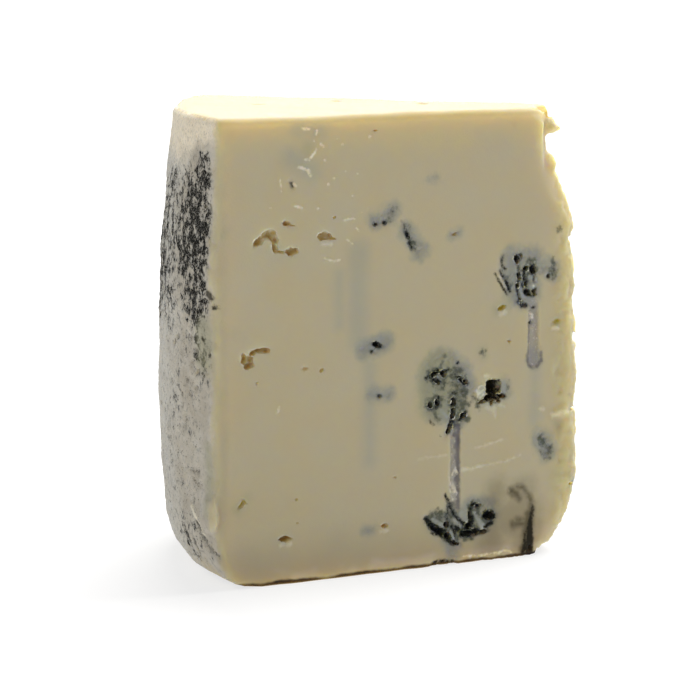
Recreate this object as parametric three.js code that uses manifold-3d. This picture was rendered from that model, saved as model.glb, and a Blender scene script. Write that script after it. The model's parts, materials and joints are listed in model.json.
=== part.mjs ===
// A wedge of blue cheese, cut from a tall drum and standing on the drum's rind-covered base.
//
// Units are millimetres and +Z is up. The wedge is worked out in its own frame first: the front
// cut face lies on y = 0 with its rind corner at x = 0, and the drum's centre line stands at
// x = DRUM_RADIUS. At the end it is moved so that the middle of its base is the origin.
//
// A place inside the wedge is given by its reach (the distance from the drum's centre line), by
// how far across it lies (0 on the front cut face, 1 on the back cut face) and by its height.

import * as THREE from 'three';
import { mergeVertices } from 'three/addons/utils/BufferGeometryUtils.js';
import Module from 'manifold-3d';

// ---- The drum and the wedge -------------------------------------------------------------
const DRUM_RADIUS = 100;
const WEDGE_HEIGHT = 100;
const WEDGE_ANGLE = THREE.MathUtils.degToRad(43);
const EDGE_WEAR = 0.35;

// The rind side bellies out around its middle and turns in to a rounded foot.
const BELLY = { swell: 3.7, height: 42, spread: 56 };
const FOOT = { inset: 5.6, height: 15, lift: 1.6, liftWidth: 10 };
const RIND_RELIEF = 0.35;
const CORNER_WANDER = 0.7;

// The thin end is broken off: rounded in the middle, further back at the top and the bottom.
const TIP = { radius: 5.9, topRadius: 10.1, topFrom: 70, topTo: 93, footRadius: 12, footHeight: 14 };
const TIP_NOTCHES = [
  { height: 64, width: 13, depth: 0.5 },
  { height: 70.5, width: 1.8, depth: 0.8 },
  { height: 15.5, width: 1.6, depth: 0.4 },
  { height: 93, width: 2, depth: 0.3 },
];
const TIP_RELIEF = 0.55;

// The cut faces aren't flat: a knife leaves long waves, and the back face swells a little.
const KNIFE_WAVE = 0.22;
const BACK_SWELL = 2.4;
const TOP_WAVE = 0.18;
const TOP_CREST = { rise: 0.8, reach: 92, spread: 34 };

// ---- Relief: holes and crumbs -----------------------------------------------------------
// Each one is an uneven ball, given by its middle on a face and its width, height and depth.
// On the front face the place is x and height; tilt turns it on the face, in degrees.
const FRONT_EYES = [
  { at: [9.4, 73.6], size: [3.0, 2.6, 1.6], tilt: 30 },
  { at: [12.3, 74.2], size: [4.2, 3.4, 2.2], tilt: -35 },
  { at: [14.6, 71.6], size: [3.0, 1.4, 1.0], tilt: -25 },
  { at: [17.6, 71.1], size: [3.6, 2.2, 2.0], tilt: 5 },
  { at: [16.4, 77.4], size: [2.6, 1.6, 1.0], tilt: 0 },
  { at: [25.4, 74.0], size: [3.6, 2.0, 1.8], tilt: 0 },
  { at: [7.2, 49.0], size: [3.4, 2.6, 2.0], tilt: 35 },
  { at: [9.6, 50.4], size: [4.2, 1.2, 1.2], tilt: 5 },
  { at: [15.5, 9.8], size: [3.4, 1.6, 2.0], tilt: 0 },
  { at: [5.7, 18.6], size: [2.6, 2.2, 1.2], tilt: 40 },
  { at: [68.9, 56.3], size: [2.9, 1.6, 1.8], tilt: 25 },
  { at: [83.4, 52.3], size: [2.6, 1.6, 1.6], tilt: 0 },
  { at: [39.6, 10.3], size: [2.0, 1.3, 1.0], tilt: 0 },
];
const FRONT_CAVITY = [
  { at: [66.7, 38.2], size: [4.4, 5.2, 5.0], tilt: 0 },
  { at: [68.4, 36.6], size: [3.0, 2.2, 3.0], tilt: -20 },
  { at: [64.2, 36.0], size: [3.6, 2.2, 3.4], tilt: -25 },
];
const FRONT_MOULD_PITS = [
  { at: [52.6, 42.6], size: [5.0, 2.6, 1.3], tilt: 10 },
  { at: [58.6, 41.2], size: [4.0, 1.8, 1.0], tilt: -30 },
  { at: [52.3, 36.4], size: [4.0, 2.2, 1.2], tilt: 15 },
  { at: [57.0, 34.4], size: [2.8, 7.2, 1.6], tilt: 10 },
  { at: [55.7, 29.6], size: [1.8, 2.6, 1.0], tilt: -20 },
  { at: [53.0, 8.2], size: [6.4, 2.6, 1.8], tilt: -38 },
  { at: [57.0, 11.4], size: [1.8, 7.4, 1.4], tilt: 28 },
  { at: [60.6, 7.6], size: [6.0, 2.8, 2.0], tilt: 5 },
  { at: [62.6, 11.2], size: [3.2, 4.2, 1.6], tilt: -15 },
  { at: [66.2, 9.8], size: [4.2, 1.9, 1.8], tilt: -8 },
  { at: [73.0, 66.8], size: [2.2, 2.0, 1.5], tilt: 30 },
  { at: [74.2, 62.6], size: [2.8, 5.0, 1.8], tilt: 10 },
  { at: [76.6, 64.8], size: [2.2, 3.0, 1.5], tilt: -10 },
  { at: [76.2, 59.4], size: [3.4, 1.8, 1.6], tilt: 5 },
  { at: [74.0, 57.2], size: [2.2, 1.4, 1.2], tilt: -30 },
  { at: [69.2, 61.6], size: [1.1, 5.4, 1.4], tilt: 33 },
  { at: [76.6, 5.0], size: [2.0, 8.4, 1.4], tilt: 6 },
  { at: [37.4, 49.9], size: [3.0, 1.8, 1.4], tilt: 25 },
  { at: [46.2, 72.8], size: [1.8, 5.6, 0.9], tilt: 25 },
  { at: [80.8, 23.6], size: [3.0, 2.0, 0.9], tilt: -35 },
];
// Needles pushed up through the drum leave straight upright channels, opened by the cut.
const FRONT_CHANNELS = [
  { x: 57.1, from: 13, to: 30, radius: 1.25, depth: 0.6 },
  { x: 77.0, from: 43, to: 57, radius: 1.4, depth: 0.4 },
];
// Crumbs that cling on: one at the broken tip, one in the big hole, one smeared over the rind.
const CRUMBS = [
  { centre: [83.0, 4.9, 95.9], size: [6.8, 4.8, 3.4] },
  { centre: [63.8, 1.0, 38.2], size: [3.4, 2.8, 2.6] },
  { centre: [-0.9, 3.2, 16.6], size: [2.3, 8.2, 9.5] },
  { centre: [84.6, 0.7, 31.6], size: [4.6, 2.0, 1.5] },
];
// The faces that are turned away carry holes of the same kinds, spread by a seeded draw.
const BACK_HOLES = { count: 16, reachFrom: 26, reachTo: 92, heightFrom: 8, heightTo: 92 };
const TOP_HOLES = { count: 3, reachFrom: 34, reachTo: 90, acrossFrom: 0.55, acrossTo: 0.85 };
const HOLE_WIDTH = { least: 1.8, most: 5.2 };
const SEED = 20;

// ---- How finely the surface is divided --------------------------------------------------
const STEPS_INWARD = 22;
const STEPS_ACROSS = 18;
const STEPS_UP = 32;
const EDGE_STEP = 0.012;
const SAME = 1e-6;
const FINE_BALL_FROM = 3.3;
const BALL_UNEVENNESS = 0.16;

const CHEESE = { name: 'cheese', color: 0xcfc09a, roughness: 0.55, metalness: 0 };

const UP = new THREE.Vector3(0, 0, 1);
const FRONT_OUTWARD = new THREE.Vector3(0, -1, 0);
const BACK_OUTWARD = new THREE.Vector3(Math.sin(WEDGE_ANGLE), Math.cos(WEDGE_ANGLE), 0);

const { smoothstep, lerp } = THREE.MathUtils;

// ---- Small helpers ----------------------------------------------------------------------

// A repeatable draw of numbers between 0 and 1.
function seededDraw(seed) {
  let state = seed;
  return () => {
    state = (state + 0x6d2b79f5) | 0;
    let mixed = Math.imul(state ^ (state >>> 15), 1 | state);
    mixed = (mixed + Math.imul(mixed ^ (mixed >>> 7), 61 | mixed)) ^ mixed;
    return ((mixed ^ (mixed >>> 14)) >>> 0) / 4294967296;
  };
}

// A smooth uneven swell between -1 and 1 whose crests lie roughly `wave` apart.
function swell(u, v, wave) {
  const turn = (2 * Math.PI) / wave;
  const slow = Math.sin(turn * (0.62 * u + 0.41 * v) + 1.3);
  const cross = Math.sin(turn * (0.35 * u - 0.83 * v) + 4.1);
  const quick = Math.sin(turn * (1.27 * u + 0.94 * v) + 2.2 * slow);
  return 0.4 * slow + 0.35 * cross + 0.25 * quick;
}

function bellCurve(value, middle, width) {
  const distance = (value - middle) / width;
  return Math.exp(-distance * distance);
}

// Where a grid line falls between 0 and 1: the first and last steps are narrow, the rest even.
function edgedShare(share, steps) {
  const fromEdge = Math.min(share, 1 - share) * steps;
  const even = EDGE_STEP + (0.5 - EDGE_STEP) * ((fromEdge - 1) / (steps / 2 - 1));
  const distance = fromEdge < 1 ? EDGE_STEP * fromEdge : even;
  return share < 0.5 ? distance : 1 - distance;
}

// ---- The wedge's outline ----------------------------------------------------------------

// The radius to which the thin end is rounded off, at one height.
function tipRadius(z) {
  const top = (TIP.topRadius - TIP.radius) * smoothstep(z, TIP.topFrom, TIP.topTo);
  const foot = (TIP.footRadius - TIP.radius) * (1 - smoothstep(z, -TIP.footHeight / 2, TIP.footHeight));
  let radius = TIP.radius + top + foot + 0.25 * swell(z, 0, 7);
  for (const notch of TIP_NOTCHES) {
    radius += notch.depth * bellCurve(z, notch.height, notch.width);
  }
  return radius;
}

// The reach at which the wedge begins: a circle that touches both cut faces.
function tipReach(z, angle) {
  const radius = tipRadius(z);
  const middle = radius / Math.sin(WEDGE_ANGLE / 2);
  const off = angle - WEDGE_ANGLE / 2;
  const inside = radius * radius - (middle * Math.sin(off)) ** 2;
  const ragged = TIP_RELIEF * swell(60 * angle, z, 9);
  return middle * Math.cos(off) - Math.sqrt(Math.max(inside, 0)) + ragged;
}

// The reach at which it ends: the rind side with its belly, its rounded foot and its bumps.
function heelReach(z, angle) {
  const along = angle / WEDGE_ANGLE;
  const rise = (z - BELLY.height) / BELLY.spread;
  const bellyShare = Math.sin(Math.PI * (0.08 + 0.84 * along));
  const belly = BELLY.swell * (1 - rise * rise) * bellyShare;
  const drop = 1 - Math.min(Math.max(z, 0) / FOOT.height, 1);
  const foot = FOOT.inset * (1 - Math.sqrt(1 - drop * drop));
  const arc = angle * DRUM_RADIUS;
  const bumps = RIND_RELIEF * (swell(arc, z, 13) + 0.6 * swell(arc + 40, z, 6.5));
  const corner = CORNER_WANDER * swell(z, 11, 24) * Math.exp(-along / 0.06);
  return DRUM_RADIUS + belly - foot + bumps + corner;
}

// A place in the wedge, with the waves of the cuts and the swell of the back face added.
function placeInWedge(reach, across, z) {
  const angle = across * WEDGE_ANGLE;
  const place = new THREE.Vector3(DRUM_RADIUS - reach * Math.cos(angle), reach * Math.sin(angle), z);
  const share = reach / DRUM_RADIUS;
  const front = KNIFE_WAVE * swell(reach, z, 46) * (1 - across);
  const back = KNIFE_WAVE * swell(reach + 60, z, 38) + BACK_SWELL * Math.sin(Math.PI * Math.min(share, 1));
  place.addScaledVector(FRONT_OUTWARD, front);
  place.addScaledVector(BACK_OUTWARD, back * across ** 2);
  const crest = TOP_CREST.rise * bellCurve(reach, TOP_CREST.reach, TOP_CREST.spread) * across ** 2;
  const topShare = smoothstep(z, WEDGE_HEIGHT * 0.8, WEDGE_HEIGHT);
  place.z += topShare * (TOP_WAVE * swell(place.x, place.y, 31) + crest);
  return place;
}

// ---- Solids -----------------------------------------------------------------------------

const wasm = await Module();
wasm.setup();

function toSolid(geometry) {
  const bare = geometry.clone();
  bare.deleteAttribute('normal');
  bare.deleteAttribute('uv');
  const merged = mergeVertices(bare, 1e-4);
  return new wasm.Manifold(new wasm.Mesh({
    numProp: 3,
    vertProperties: new Float32Array(merged.attributes.position.array),
    triVerts: new Uint32Array(merged.index.array),
  }));
}

function toGeometry(solid) {
  const mesh = solid.getMesh();
  const geometry = new THREE.BufferGeometry();
  geometry.setAttribute('position', new THREE.BufferAttribute(mesh.vertProperties, 3));
  geometry.setIndex(new THREE.BufferAttribute(mesh.triVerts, 1));
  geometry.computeVertexNormals();
  return geometry;
}

// A box of one unit whose grid is bent into the wedge: its x runs from the rind to the tip,
// its y from the front cut face to the back one, and its z up.
function wedgeBody() {
  const geometry = new THREE.BoxGeometry(1, 1, 1, STEPS_INWARD, STEPS_ACROSS, STEPS_UP);
  const position = geometry.attributes.position;
  for (let i = 0; i < position.count; i += 1) {
    const inward = edgedShare(position.getX(i) + 0.5, STEPS_INWARD);
    const stepAcross = edgedShare(position.getY(i) + 0.5, STEPS_ACROSS);
    const up = edgedShare(position.getZ(i) + 0.5, STEPS_UP);
    const roundedAcross = 0.5 - 0.5 * Math.cos(Math.PI * stepAcross);
    const across = lerp(stepAcross, roundedAcross, inward);
    const z = WEDGE_HEIGHT * up;

    const onRind = inward < SAME;
    const onFront = stepAcross < SAME;
    const onBack = stepAcross > 1 - SAME;
    const onTop = up > 1 - SAME;
    const facesHere = [onRind, onFront, onBack, onTop].filter(Boolean).length;
    const wear = EDGE_WEAR * Math.max(facesHere - 1, 0);

    const angle = across * WEDGE_ANGLE;
    const rind = heelReach(z, angle) - (onRind ? wear : 0);
    const reach = lerp(rind, tipReach(z, angle), inward);
    const place = placeInWedge(reach, across, z);
    if (onFront) {
      place.addScaledVector(FRONT_OUTWARD, -wear);
    }
    if (onBack) {
      place.addScaledVector(BACK_OUTWARD, -wear);
    }
    if (onTop) {
      place.z -= wear;
    }
    const footLift = FOOT.lift * (1 - smoothstep(heelReach(0, angle) - reach, 0, FOOT.liftWidth));
    place.z += (footLift - 1) * (1 - smoothstep(z, 0, 8));
    position.setXYZ(i, place.x, place.y, place.z);
  }
  return toSolid(geometry);
}

// An uneven ball: width, height and depth are its whole size.
function unevenBall(width, height, depth, draw) {
  const detail = Math.max(width, height) < FINE_BALL_FROM ? 0 : 1;
  const geometry = new THREE.IcosahedronGeometry(0.5, detail);
  geometry.deleteAttribute('normal');
  geometry.deleteAttribute('uv');
  const ball = mergeVertices(geometry, 1e-4);
  const position = ball.attributes.position;
  for (let i = 0; i < position.count; i += 1) {
    const stretch = 1 + BALL_UNEVENNESS * (2 * draw() - 1);
    position.setXYZ(i, position.getX(i) * stretch, position.getY(i) * stretch, position.getZ(i) * stretch);
  }
  ball.scale(width, height, depth);
  return ball;
}

// The frame of a face at one place: its x lies along the face, its y up it, its z out of it.
function faceFrame(place, outward, up) {
  const along = new THREE.Vector3().crossVectors(up, outward);
  return new THREE.Matrix4().makeBasis(along, up, outward).setPosition(place);
}

// A hole in a face: an uneven ball sunk to its middle, turned by tilt on the face.
function hole(frame, size, tilt, draw) {
  const ball = unevenBall(size[0], size[1], 2 * size[2], draw);
  ball.rotateZ(THREE.MathUtils.degToRad(tilt));
  ball.applyMatrix4(frame);
  return toSolid(ball);
}

function frontPlace(x, z) {
  return placeInWedge(DRUM_RADIUS - x, 0, z);
}

function frontHoles(list, draw) {
  return list.map(({ at, size, tilt }) => (
    hole(faceFrame(frontPlace(at[0], at[1]), FRONT_OUTWARD, UP), size, tilt, draw)));
}

function backHoles(draw) {
  const holes = [];
  for (let i = 0; i < BACK_HOLES.count; i += 1) {
    const reach = lerp(BACK_HOLES.reachFrom, BACK_HOLES.reachTo, draw());
    const z = lerp(BACK_HOLES.heightFrom, BACK_HOLES.heightTo, (i + draw()) / BACK_HOLES.count);
    const width = lerp(HOLE_WIDTH.least, HOLE_WIDTH.most, draw());
    const size = [width, width * lerp(0.4, 0.9, draw()), width * 0.4];
    const frame = faceFrame(placeInWedge(reach, 1, z), BACK_OUTWARD, UP);
    holes.push(hole(frame, size, 180 * draw(), draw));
  }
  return holes;
}

function topHoles(draw) {
  const holes = [];
  for (let i = 0; i < TOP_HOLES.count; i += 1) {
    const reach = lerp(TOP_HOLES.reachFrom, TOP_HOLES.reachTo, (i + draw()) / TOP_HOLES.count);
    const across = lerp(TOP_HOLES.acrossFrom, TOP_HOLES.acrossTo, draw());
    const width = lerp(HOLE_WIDTH.least, HOLE_WIDTH.most, draw());
    const size = [width, width * lerp(0.4, 0.8, draw()), width * 0.3];
    const place = placeInWedge(reach, across, WEDGE_HEIGHT);
    const frame = faceFrame(place, UP, new THREE.Vector3(0, 1, 0));
    holes.push(hole(frame, size, 180 * draw(), draw));
  }
  return holes;
}

// A channel is a rod with round ends, sunk into the front face to its depth.
function channel({ x, from, to, radius, depth }) {
  const geometry = new THREE.CapsuleGeometry(radius, to - from - 2 * radius, 3, 12);
  geometry.rotateX(Math.PI / 2);
  const place = frontPlace(x, (from + to) / 2);
  geometry.translate(place.x, place.y + depth - radius, place.z);
  return toSolid(geometry);
}

function crumb({ centre, size }, draw) {
  const ball = unevenBall(size[0], size[1], size[2], draw);
  ball.translate(centre[0], centre[1], centre[2]);
  return toSolid(ball);
}

// All that lies below the standing surface is cut off, which leaves the flat base.
function belowTheBase() {
  const depth = 20;
  const slab = new THREE.BoxGeometry(4 * DRUM_RADIUS, 4 * DRUM_RADIUS, depth);
  slab.translate(0, 0, -depth / 2);
  return toSolid(slab);
}

function makeCheese() {
  const draw = seededDraw(SEED);
  let cheese = wedgeBody().subtract(belowTheBase());
  const cuts = [
    ...frontHoles([...FRONT_EYES, ...FRONT_CAVITY, ...FRONT_MOULD_PITS], draw),
    ...FRONT_CHANNELS.map(channel),
    ...backHoles(draw),
    ...topHoles(draw),
  ];
  for (const cut of cuts) {
    cheese = cheese.subtract(cut);
  }
  for (const piece of CRUMBS) {
    cheese = cheese.add(crumb(piece, draw));
  }

  const geometry = toGeometry(cheese);
  geometry.computeBoundingBox();
  const middle = geometry.boundingBox.getCenter(new THREE.Vector3());
  geometry.translate(-middle.x, -middle.y, -geometry.boundingBox.min.z);

  const material = new THREE.MeshStandardMaterial({
    color: CHEESE.color,
    roughness: CHEESE.roughness,
    metalness: CHEESE.metalness,
  });
  const mesh = new THREE.Mesh(geometry, material);
  mesh.name = CHEESE.name;
  return mesh;
}

const part = new THREE.Group();
part.add(makeCheese());

export default part;
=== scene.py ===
"""A wedge of blue cheese on a plain studio floor.

The file is laid out as an add-on: settings, one operator for each step of making the cheese,
one for the studio, and a panel that lists them. Lengths are millimetres until they are
multiplied by MM. The marks were placed as strokes and lobes on each face.
"""

import json
import math
import random
from typing import NamedTuple

import bpy
import numpy as np
from mathutils import Matrix, Vector

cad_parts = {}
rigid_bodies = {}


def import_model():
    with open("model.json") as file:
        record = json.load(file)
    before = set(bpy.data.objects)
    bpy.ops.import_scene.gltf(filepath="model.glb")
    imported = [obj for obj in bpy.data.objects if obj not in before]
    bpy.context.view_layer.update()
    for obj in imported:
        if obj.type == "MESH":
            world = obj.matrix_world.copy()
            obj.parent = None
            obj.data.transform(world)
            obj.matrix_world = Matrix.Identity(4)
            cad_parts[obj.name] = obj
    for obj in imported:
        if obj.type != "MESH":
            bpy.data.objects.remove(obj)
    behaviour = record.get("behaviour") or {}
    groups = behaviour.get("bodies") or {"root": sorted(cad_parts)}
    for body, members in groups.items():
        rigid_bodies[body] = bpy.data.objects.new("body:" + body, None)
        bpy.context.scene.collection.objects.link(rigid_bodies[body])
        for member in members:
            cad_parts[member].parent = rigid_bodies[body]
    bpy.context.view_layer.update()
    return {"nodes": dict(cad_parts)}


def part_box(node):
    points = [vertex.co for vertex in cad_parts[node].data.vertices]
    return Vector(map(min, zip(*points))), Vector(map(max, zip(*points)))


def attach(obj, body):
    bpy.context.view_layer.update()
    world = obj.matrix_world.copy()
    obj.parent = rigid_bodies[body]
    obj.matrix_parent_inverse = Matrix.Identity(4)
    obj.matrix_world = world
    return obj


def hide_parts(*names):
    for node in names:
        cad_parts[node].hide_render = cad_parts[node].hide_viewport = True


bl_info = {
    "name": "Blue cheese wedge",
    "version": (1, 0, 0),
    "blender": (4, 5, 0),
    "location": "View3D > Sidebar > Cheese",
    "description": "Models a wedge of blue cheese over its plain solid and lights it in a studio",
    "category": "Object",
}

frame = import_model()

NODE = "cheese"
PIECE = "blue_cheese"
MM = 0.001

# ---- The wedge, as its plain solid has it ----------------------------------------------------
LOW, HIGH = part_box(NODE)
DRUM_RADIUS = 100.0
WEDGE_ANGLE = math.radians(43.0)
HEEL_INSET = 1.967
FRONT_INSET = 0.768
BELLY_SWELL = 3.7
BELLY_HEIGHT = 42.0
BELLY_SPREAD = 56.0
BELLY_START, BELLY_SHARE = 0.08, 0.84
FOOT_INSET = 5.6
FOOT_HEIGHT = 15.0
BACK_SWELL = 2.4
TIP_REACH = 17.0
HEEL_CORNER = Vector((LOW.x / MM + HEEL_INSET, LOW.y / MM + FRONT_INSET, 0.0))
DRUM_AXIS = HEEL_CORNER + Vector((DRUM_RADIUS, 0.0, 0.0))
TOP = HIGH.z / MM

# ---- Layers that are painted on the surface --------------------------------------------------
# Each holds, in millimetres, how far a point lies inside the marks of its kind (below 0: outside).
LAYERS = (
    "mould",
    "halo",
    "petal",
    "canal",
    "eye",
    "brown",
    "smoke",
    "haze",
    "murk",
    "wall_stain_and_shade",
    "ridge",
    "scrape",
    "vein",
    "green",
)
FAR_OUTSIDE = -9.0
# How much depth under the face counts beside distance along it, and how far marks reach.
DEPTH_SHARE = 0.35
STROKE_REACH = 10.0
LOBE_REACH = 8.0
# Holes of the faces that are turned away: how deep their colour starts, and how far it runs on; that colour
# is partly painted shade.
HIDDEN_HOLE_DEPTH = 1.05
HIDDEN_HOLE_RUN = 1.0


class Stroke(NamedTuple):
    """A line on a face: its layer, its width at both ends and the points it runs through."""

    layer: str
    widths: tuple
    points: tuple


class Lobe(NamedTuple):
    """One lobe of a hole: its place on a face, its whole width and height, its depth and tilt."""

    x: float
    z: float
    width: float
    height: float
    depth: float
    tilt: float = 0.0


def line(layer, width, *points, end=None):
    """A stroke of one width, or one that narrows to its end."""
    return Stroke(layer, (width, width if end is None else end), points)


def spot(layer, size, *points):
    """Round marks of one size."""
    return [Stroke(layer, (size, size), (point, point)) for point in points]


# The small holes of the curd, on the front cut face.
EYES = (
    Lobe(9.6, 74.0, 3.3, 1.6, 1.2, 42),
    Lobe(11.0, 75.1, 1.8, 1.5, 0.9, 0),
    Lobe(12.4, 75.1, 3.2, 2.4, 1.0, -8),
    Lobe(13.2, 74.2, 1.9, 2.4, 1.1, 20),
    Lobe(13.3, 72.7, 1.4, 2.8, 1.1, 14),
    Lobe(14.8, 71.5, 2.0, 0.8, 0.7, -8),
    Lobe(17.3, 71.4, 2.8, 2.0, 1.3, 14),
    Lobe(18.4, 71.6, 1.5, 1.5, 1.1, 30),
    Lobe(16.2, 77.4, 2.2, 1.4, 1.0, -8),
    Lobe(17.6, 77.0, 1.6, 0.5, 0.6, -12),
    Lobe(25.0, 74.3, 2.8, 2.0, 1.1, 4),
    Lobe(26.2, 74.2, 1.8, 1.4, 0.9, -20),
    Lobe(27.2, 73.8, 1.6, 0.6, 0.6, -15),
    Lobe(6.2, 49.2, 1.9, 2.6, 1.4, 30),
    Lobe(7.2, 47.8, 2.4, 1.4, 1.2, 15),
    Lobe(7.3, 49.0, 2.2, 2.2, 1.0, 20),
    Lobe(8.3, 50.5, 2.4, 1.2, 1.2, 30),
    Lobe(10.0, 51.0, 3.4, 1.2, 1.2, 6),
    Lobe(11.4, 50.7, 1.6, 1.4, 1.0, 0),
    Lobe(15.5, 9.8, 3.4, 1.5, 1.7, 0),
    Lobe(5.4, 18.4, 2.6, 1.1, 0.8, 48),
    Lobe(5.9, 18.9, 2.0, 0.9, 0.7, -40),
    Lobe(68.9, 56.3, 2.8, 1.4, 1.0, 25),
    Lobe(83.3, 52.3, 2.6, 1.4, 0.9, 0),
    Lobe(39.7, 10.3, 2.0, 1.0, 0.9, 0),
    Lobe(27.5, 78.3, 0.9, 0.6, 0.8, 20),
    Lobe(37.3, 96.3, 1.2, 0.5, 0.8, 0),
    Lobe(57.0, 73.2, 1.6, 0.6, 0.5, 12),
    Lobe(70.8, 48.8, 1.2, 0.7, 0.7, -20),
    Lobe(20.5, 46.3, 1.6, 0.9, 0.5, 0),
    Lobe(24.5, 45.7, 1.3, 0.8, 0.5, 30),
    Lobe(9.0, 44.0, 1.0, 0.8, 0.5, 0),
    Lobe(42.3, 20.8, 0.8, 0.5, 0.5, 0),
    Lobe(18.2, 18.2, 0.9, 0.6, 0.5, 0),
    Lobe(18.5, 13.0, 0.8, 0.5, 0.5, 0),
)
# The large dark hole beside the middle flower of mould.
CAVITY = (
    Lobe(66.9, 38.6, 4.0, 4.0, 5.4, 0),
    Lobe(65.8, 39.9, 1.8, 1.3, 4.0, 0),
    Lobe(67.9, 39.7, 1.8, 1.6, 4.0, 0),
    Lobe(66.4, 36.6, 4.4, 2.0, 4.6, 0),
    Lobe(69.3, 36.7, 1.9, 1.1, 3.4, -14),
    Lobe(64.2, 35.9, 2.8, 1.0, 3.0, 14),
    Lobe(66.3, 35.6, 1.0, 1.6, 3.4, 12),
    Lobe(68.2, 35.8, 1.2, 1.4, 3.4, -10),
)
# Bites out of the broken tip: place on the front face, whole width and height.
TIP_NICKS = (
    Lobe(82.6, 98.6, 2.8, 2.4, 14.0),
    Lobe(85.0, 97.6, 5.6, 4.6, 14.0),
    Lobe(81.5, 103.0, 12.0, 8.8, 14.0),
    Lobe(87.0, 70.2, 1.8, 1.5, 12.0),
    Lobe(88.0, 32.0, 1.5, 0.9, 12.0),
    Lobe(87.4, 15.2, 1.2, 0.8, 12.0),
    Lobe(81.6, -0.4, 6.4, 5.2, 14.0),
    Lobe(84.9, 5.4, 1.6, 1.0, 12.0),
    Lobe(88.4, 48.0, 1.8, 2.4, 12.0),
)
NICK_TURN = math.radians(-27.8)
# The slab that closes the plain solid's pits, counted from the heel's corner.
FILL_LOW = Vector((2.5, 0.0, 2.5))
FILL_HIGH = Vector((79.5, 6.5, 97.0))
# Lumps of paste on the broken tip: the middle of each, counted likewise, and its size.
TIP_LUMPS = (
    (Vector((83.3, 4.9, 94.9)), Vector((6.2, 4.6, 2.6))),
    (Vector((82.4, 4.2, 87.0)), Vector((3.4, 7.0, 6.0))),
)
# Pits rotted into the paste under the mould.
MOULD_PITS = (
    Lobe(72.9, 66.9, 1.2, 1.7, 1.2, 20),
    Lobe(73.7, 67.5, 0.7, 0.6, 0.8, 0),
    Lobe(73.3, 63.0, 0.9, 1.4, 1.1, 0),
    Lobe(73.0, 61.1, 0.6, 1.0, 0.8, 0),
    Lobe(74.9, 61.4, 0.9, 1.5, 1.2, -15),
    Lobe(75.2, 64.7, 1.3, 0.7, 0.9, 20),
    Lobe(77.0, 64.3, 1.3, 1.7, 1.4, 0),
    Lobe(75.7, 59.3, 2.0, 0.9, 1.3, -32),
    Lobe(77.3, 59.2, 0.9, 1.2, 1.1, 25),
    Lobe(73.7, 57.4, 0.8, 0.6, 0.8, 0),
    Lobe(74.9, 56.5, 0.9, 0.6, 0.7, -20),
    Lobe(54.4, 42.8, 1.3, 1.3, 1.5, 0),
    Lobe(52.0, 42.7, 1.6, 0.7, 0.8, 20),
    Lobe(52.6, 41.3, 1.8, 0.6, 0.7, -35),
    Lobe(58.9, 41.1, 2.0, 0.6, 0.8, -40),
    Lobe(59.9, 40.6, 0.9, 0.8, 0.9, 0),
    Lobe(51.0, 36.0, 0.8, 1.2, 1.0, 0),
    Lobe(52.9, 36.4, 0.9, 1.5, 1.1, 20),
    Lobe(56.9, 36.3, 1.1, 1.8, 1.4, 0),
    Lobe(56.7, 33.8, 1.1, 2.3, 1.5, -8),
    Lobe(55.8, 30.4, 0.9, 2.0, 1.0, -22),
    Lobe(59.3, 33.0, 1.4, 0.8, 0.9, 30),
    Lobe(52.6, 8.3, 4.4, 1.1, 1.5, -33),
    Lobe(55.3, 9.1, 1.2, 1.2, 1.4, 0),
    Lobe(55.5, 6.5, 1.8, 1.3, 1.5, -30),
    Lobe(57.2, 4.8, 2.0, 0.7, 1.0, -15),
    Lobe(59.7, 6.7, 1.8, 0.8, 1.2, -15),
    Lobe(61.6, 6.7, 3.4, 1.2, 1.7, -5),
    Lobe(61.1, 8.1, 1.7, 1.6, 1.8, 0),
    Lobe(61.4, 10.7, 0.8, 2.0, 1.3, 0),
    Lobe(61.9, 13.0, 0.9, 1.0, 1.0, 0),
    Lobe(63.4, 12.5, 1.3, 0.6, 0.8, 12),
    Lobe(64.7, 6.6, 1.6, 0.7, 1.1, 10),
    Lobe(66.1, 10.1, 2.8, 1.7, 1.8, -6),
    Lobe(37.9, 50.2, 2.1, 1.2, 1.4, -22),
    Lobe(38.5, 39.0, 0.7, 0.6, 0.5, 0),
    Lobe(37.5, 76.3, 0.8, 0.6, 0.5, 0),
    Lobe(39.7, 76.4, 0.7, 0.6, 0.5, 0),
    Lobe(45.4, 73.4, 0.5, 2.6, 0.4, 24),
    Lobe(81.1, 62.6, 0.6, 0.6, 0.6, 0),
)

PITS = (*EYES, *CAVITY, *MOULD_PITS)

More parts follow.
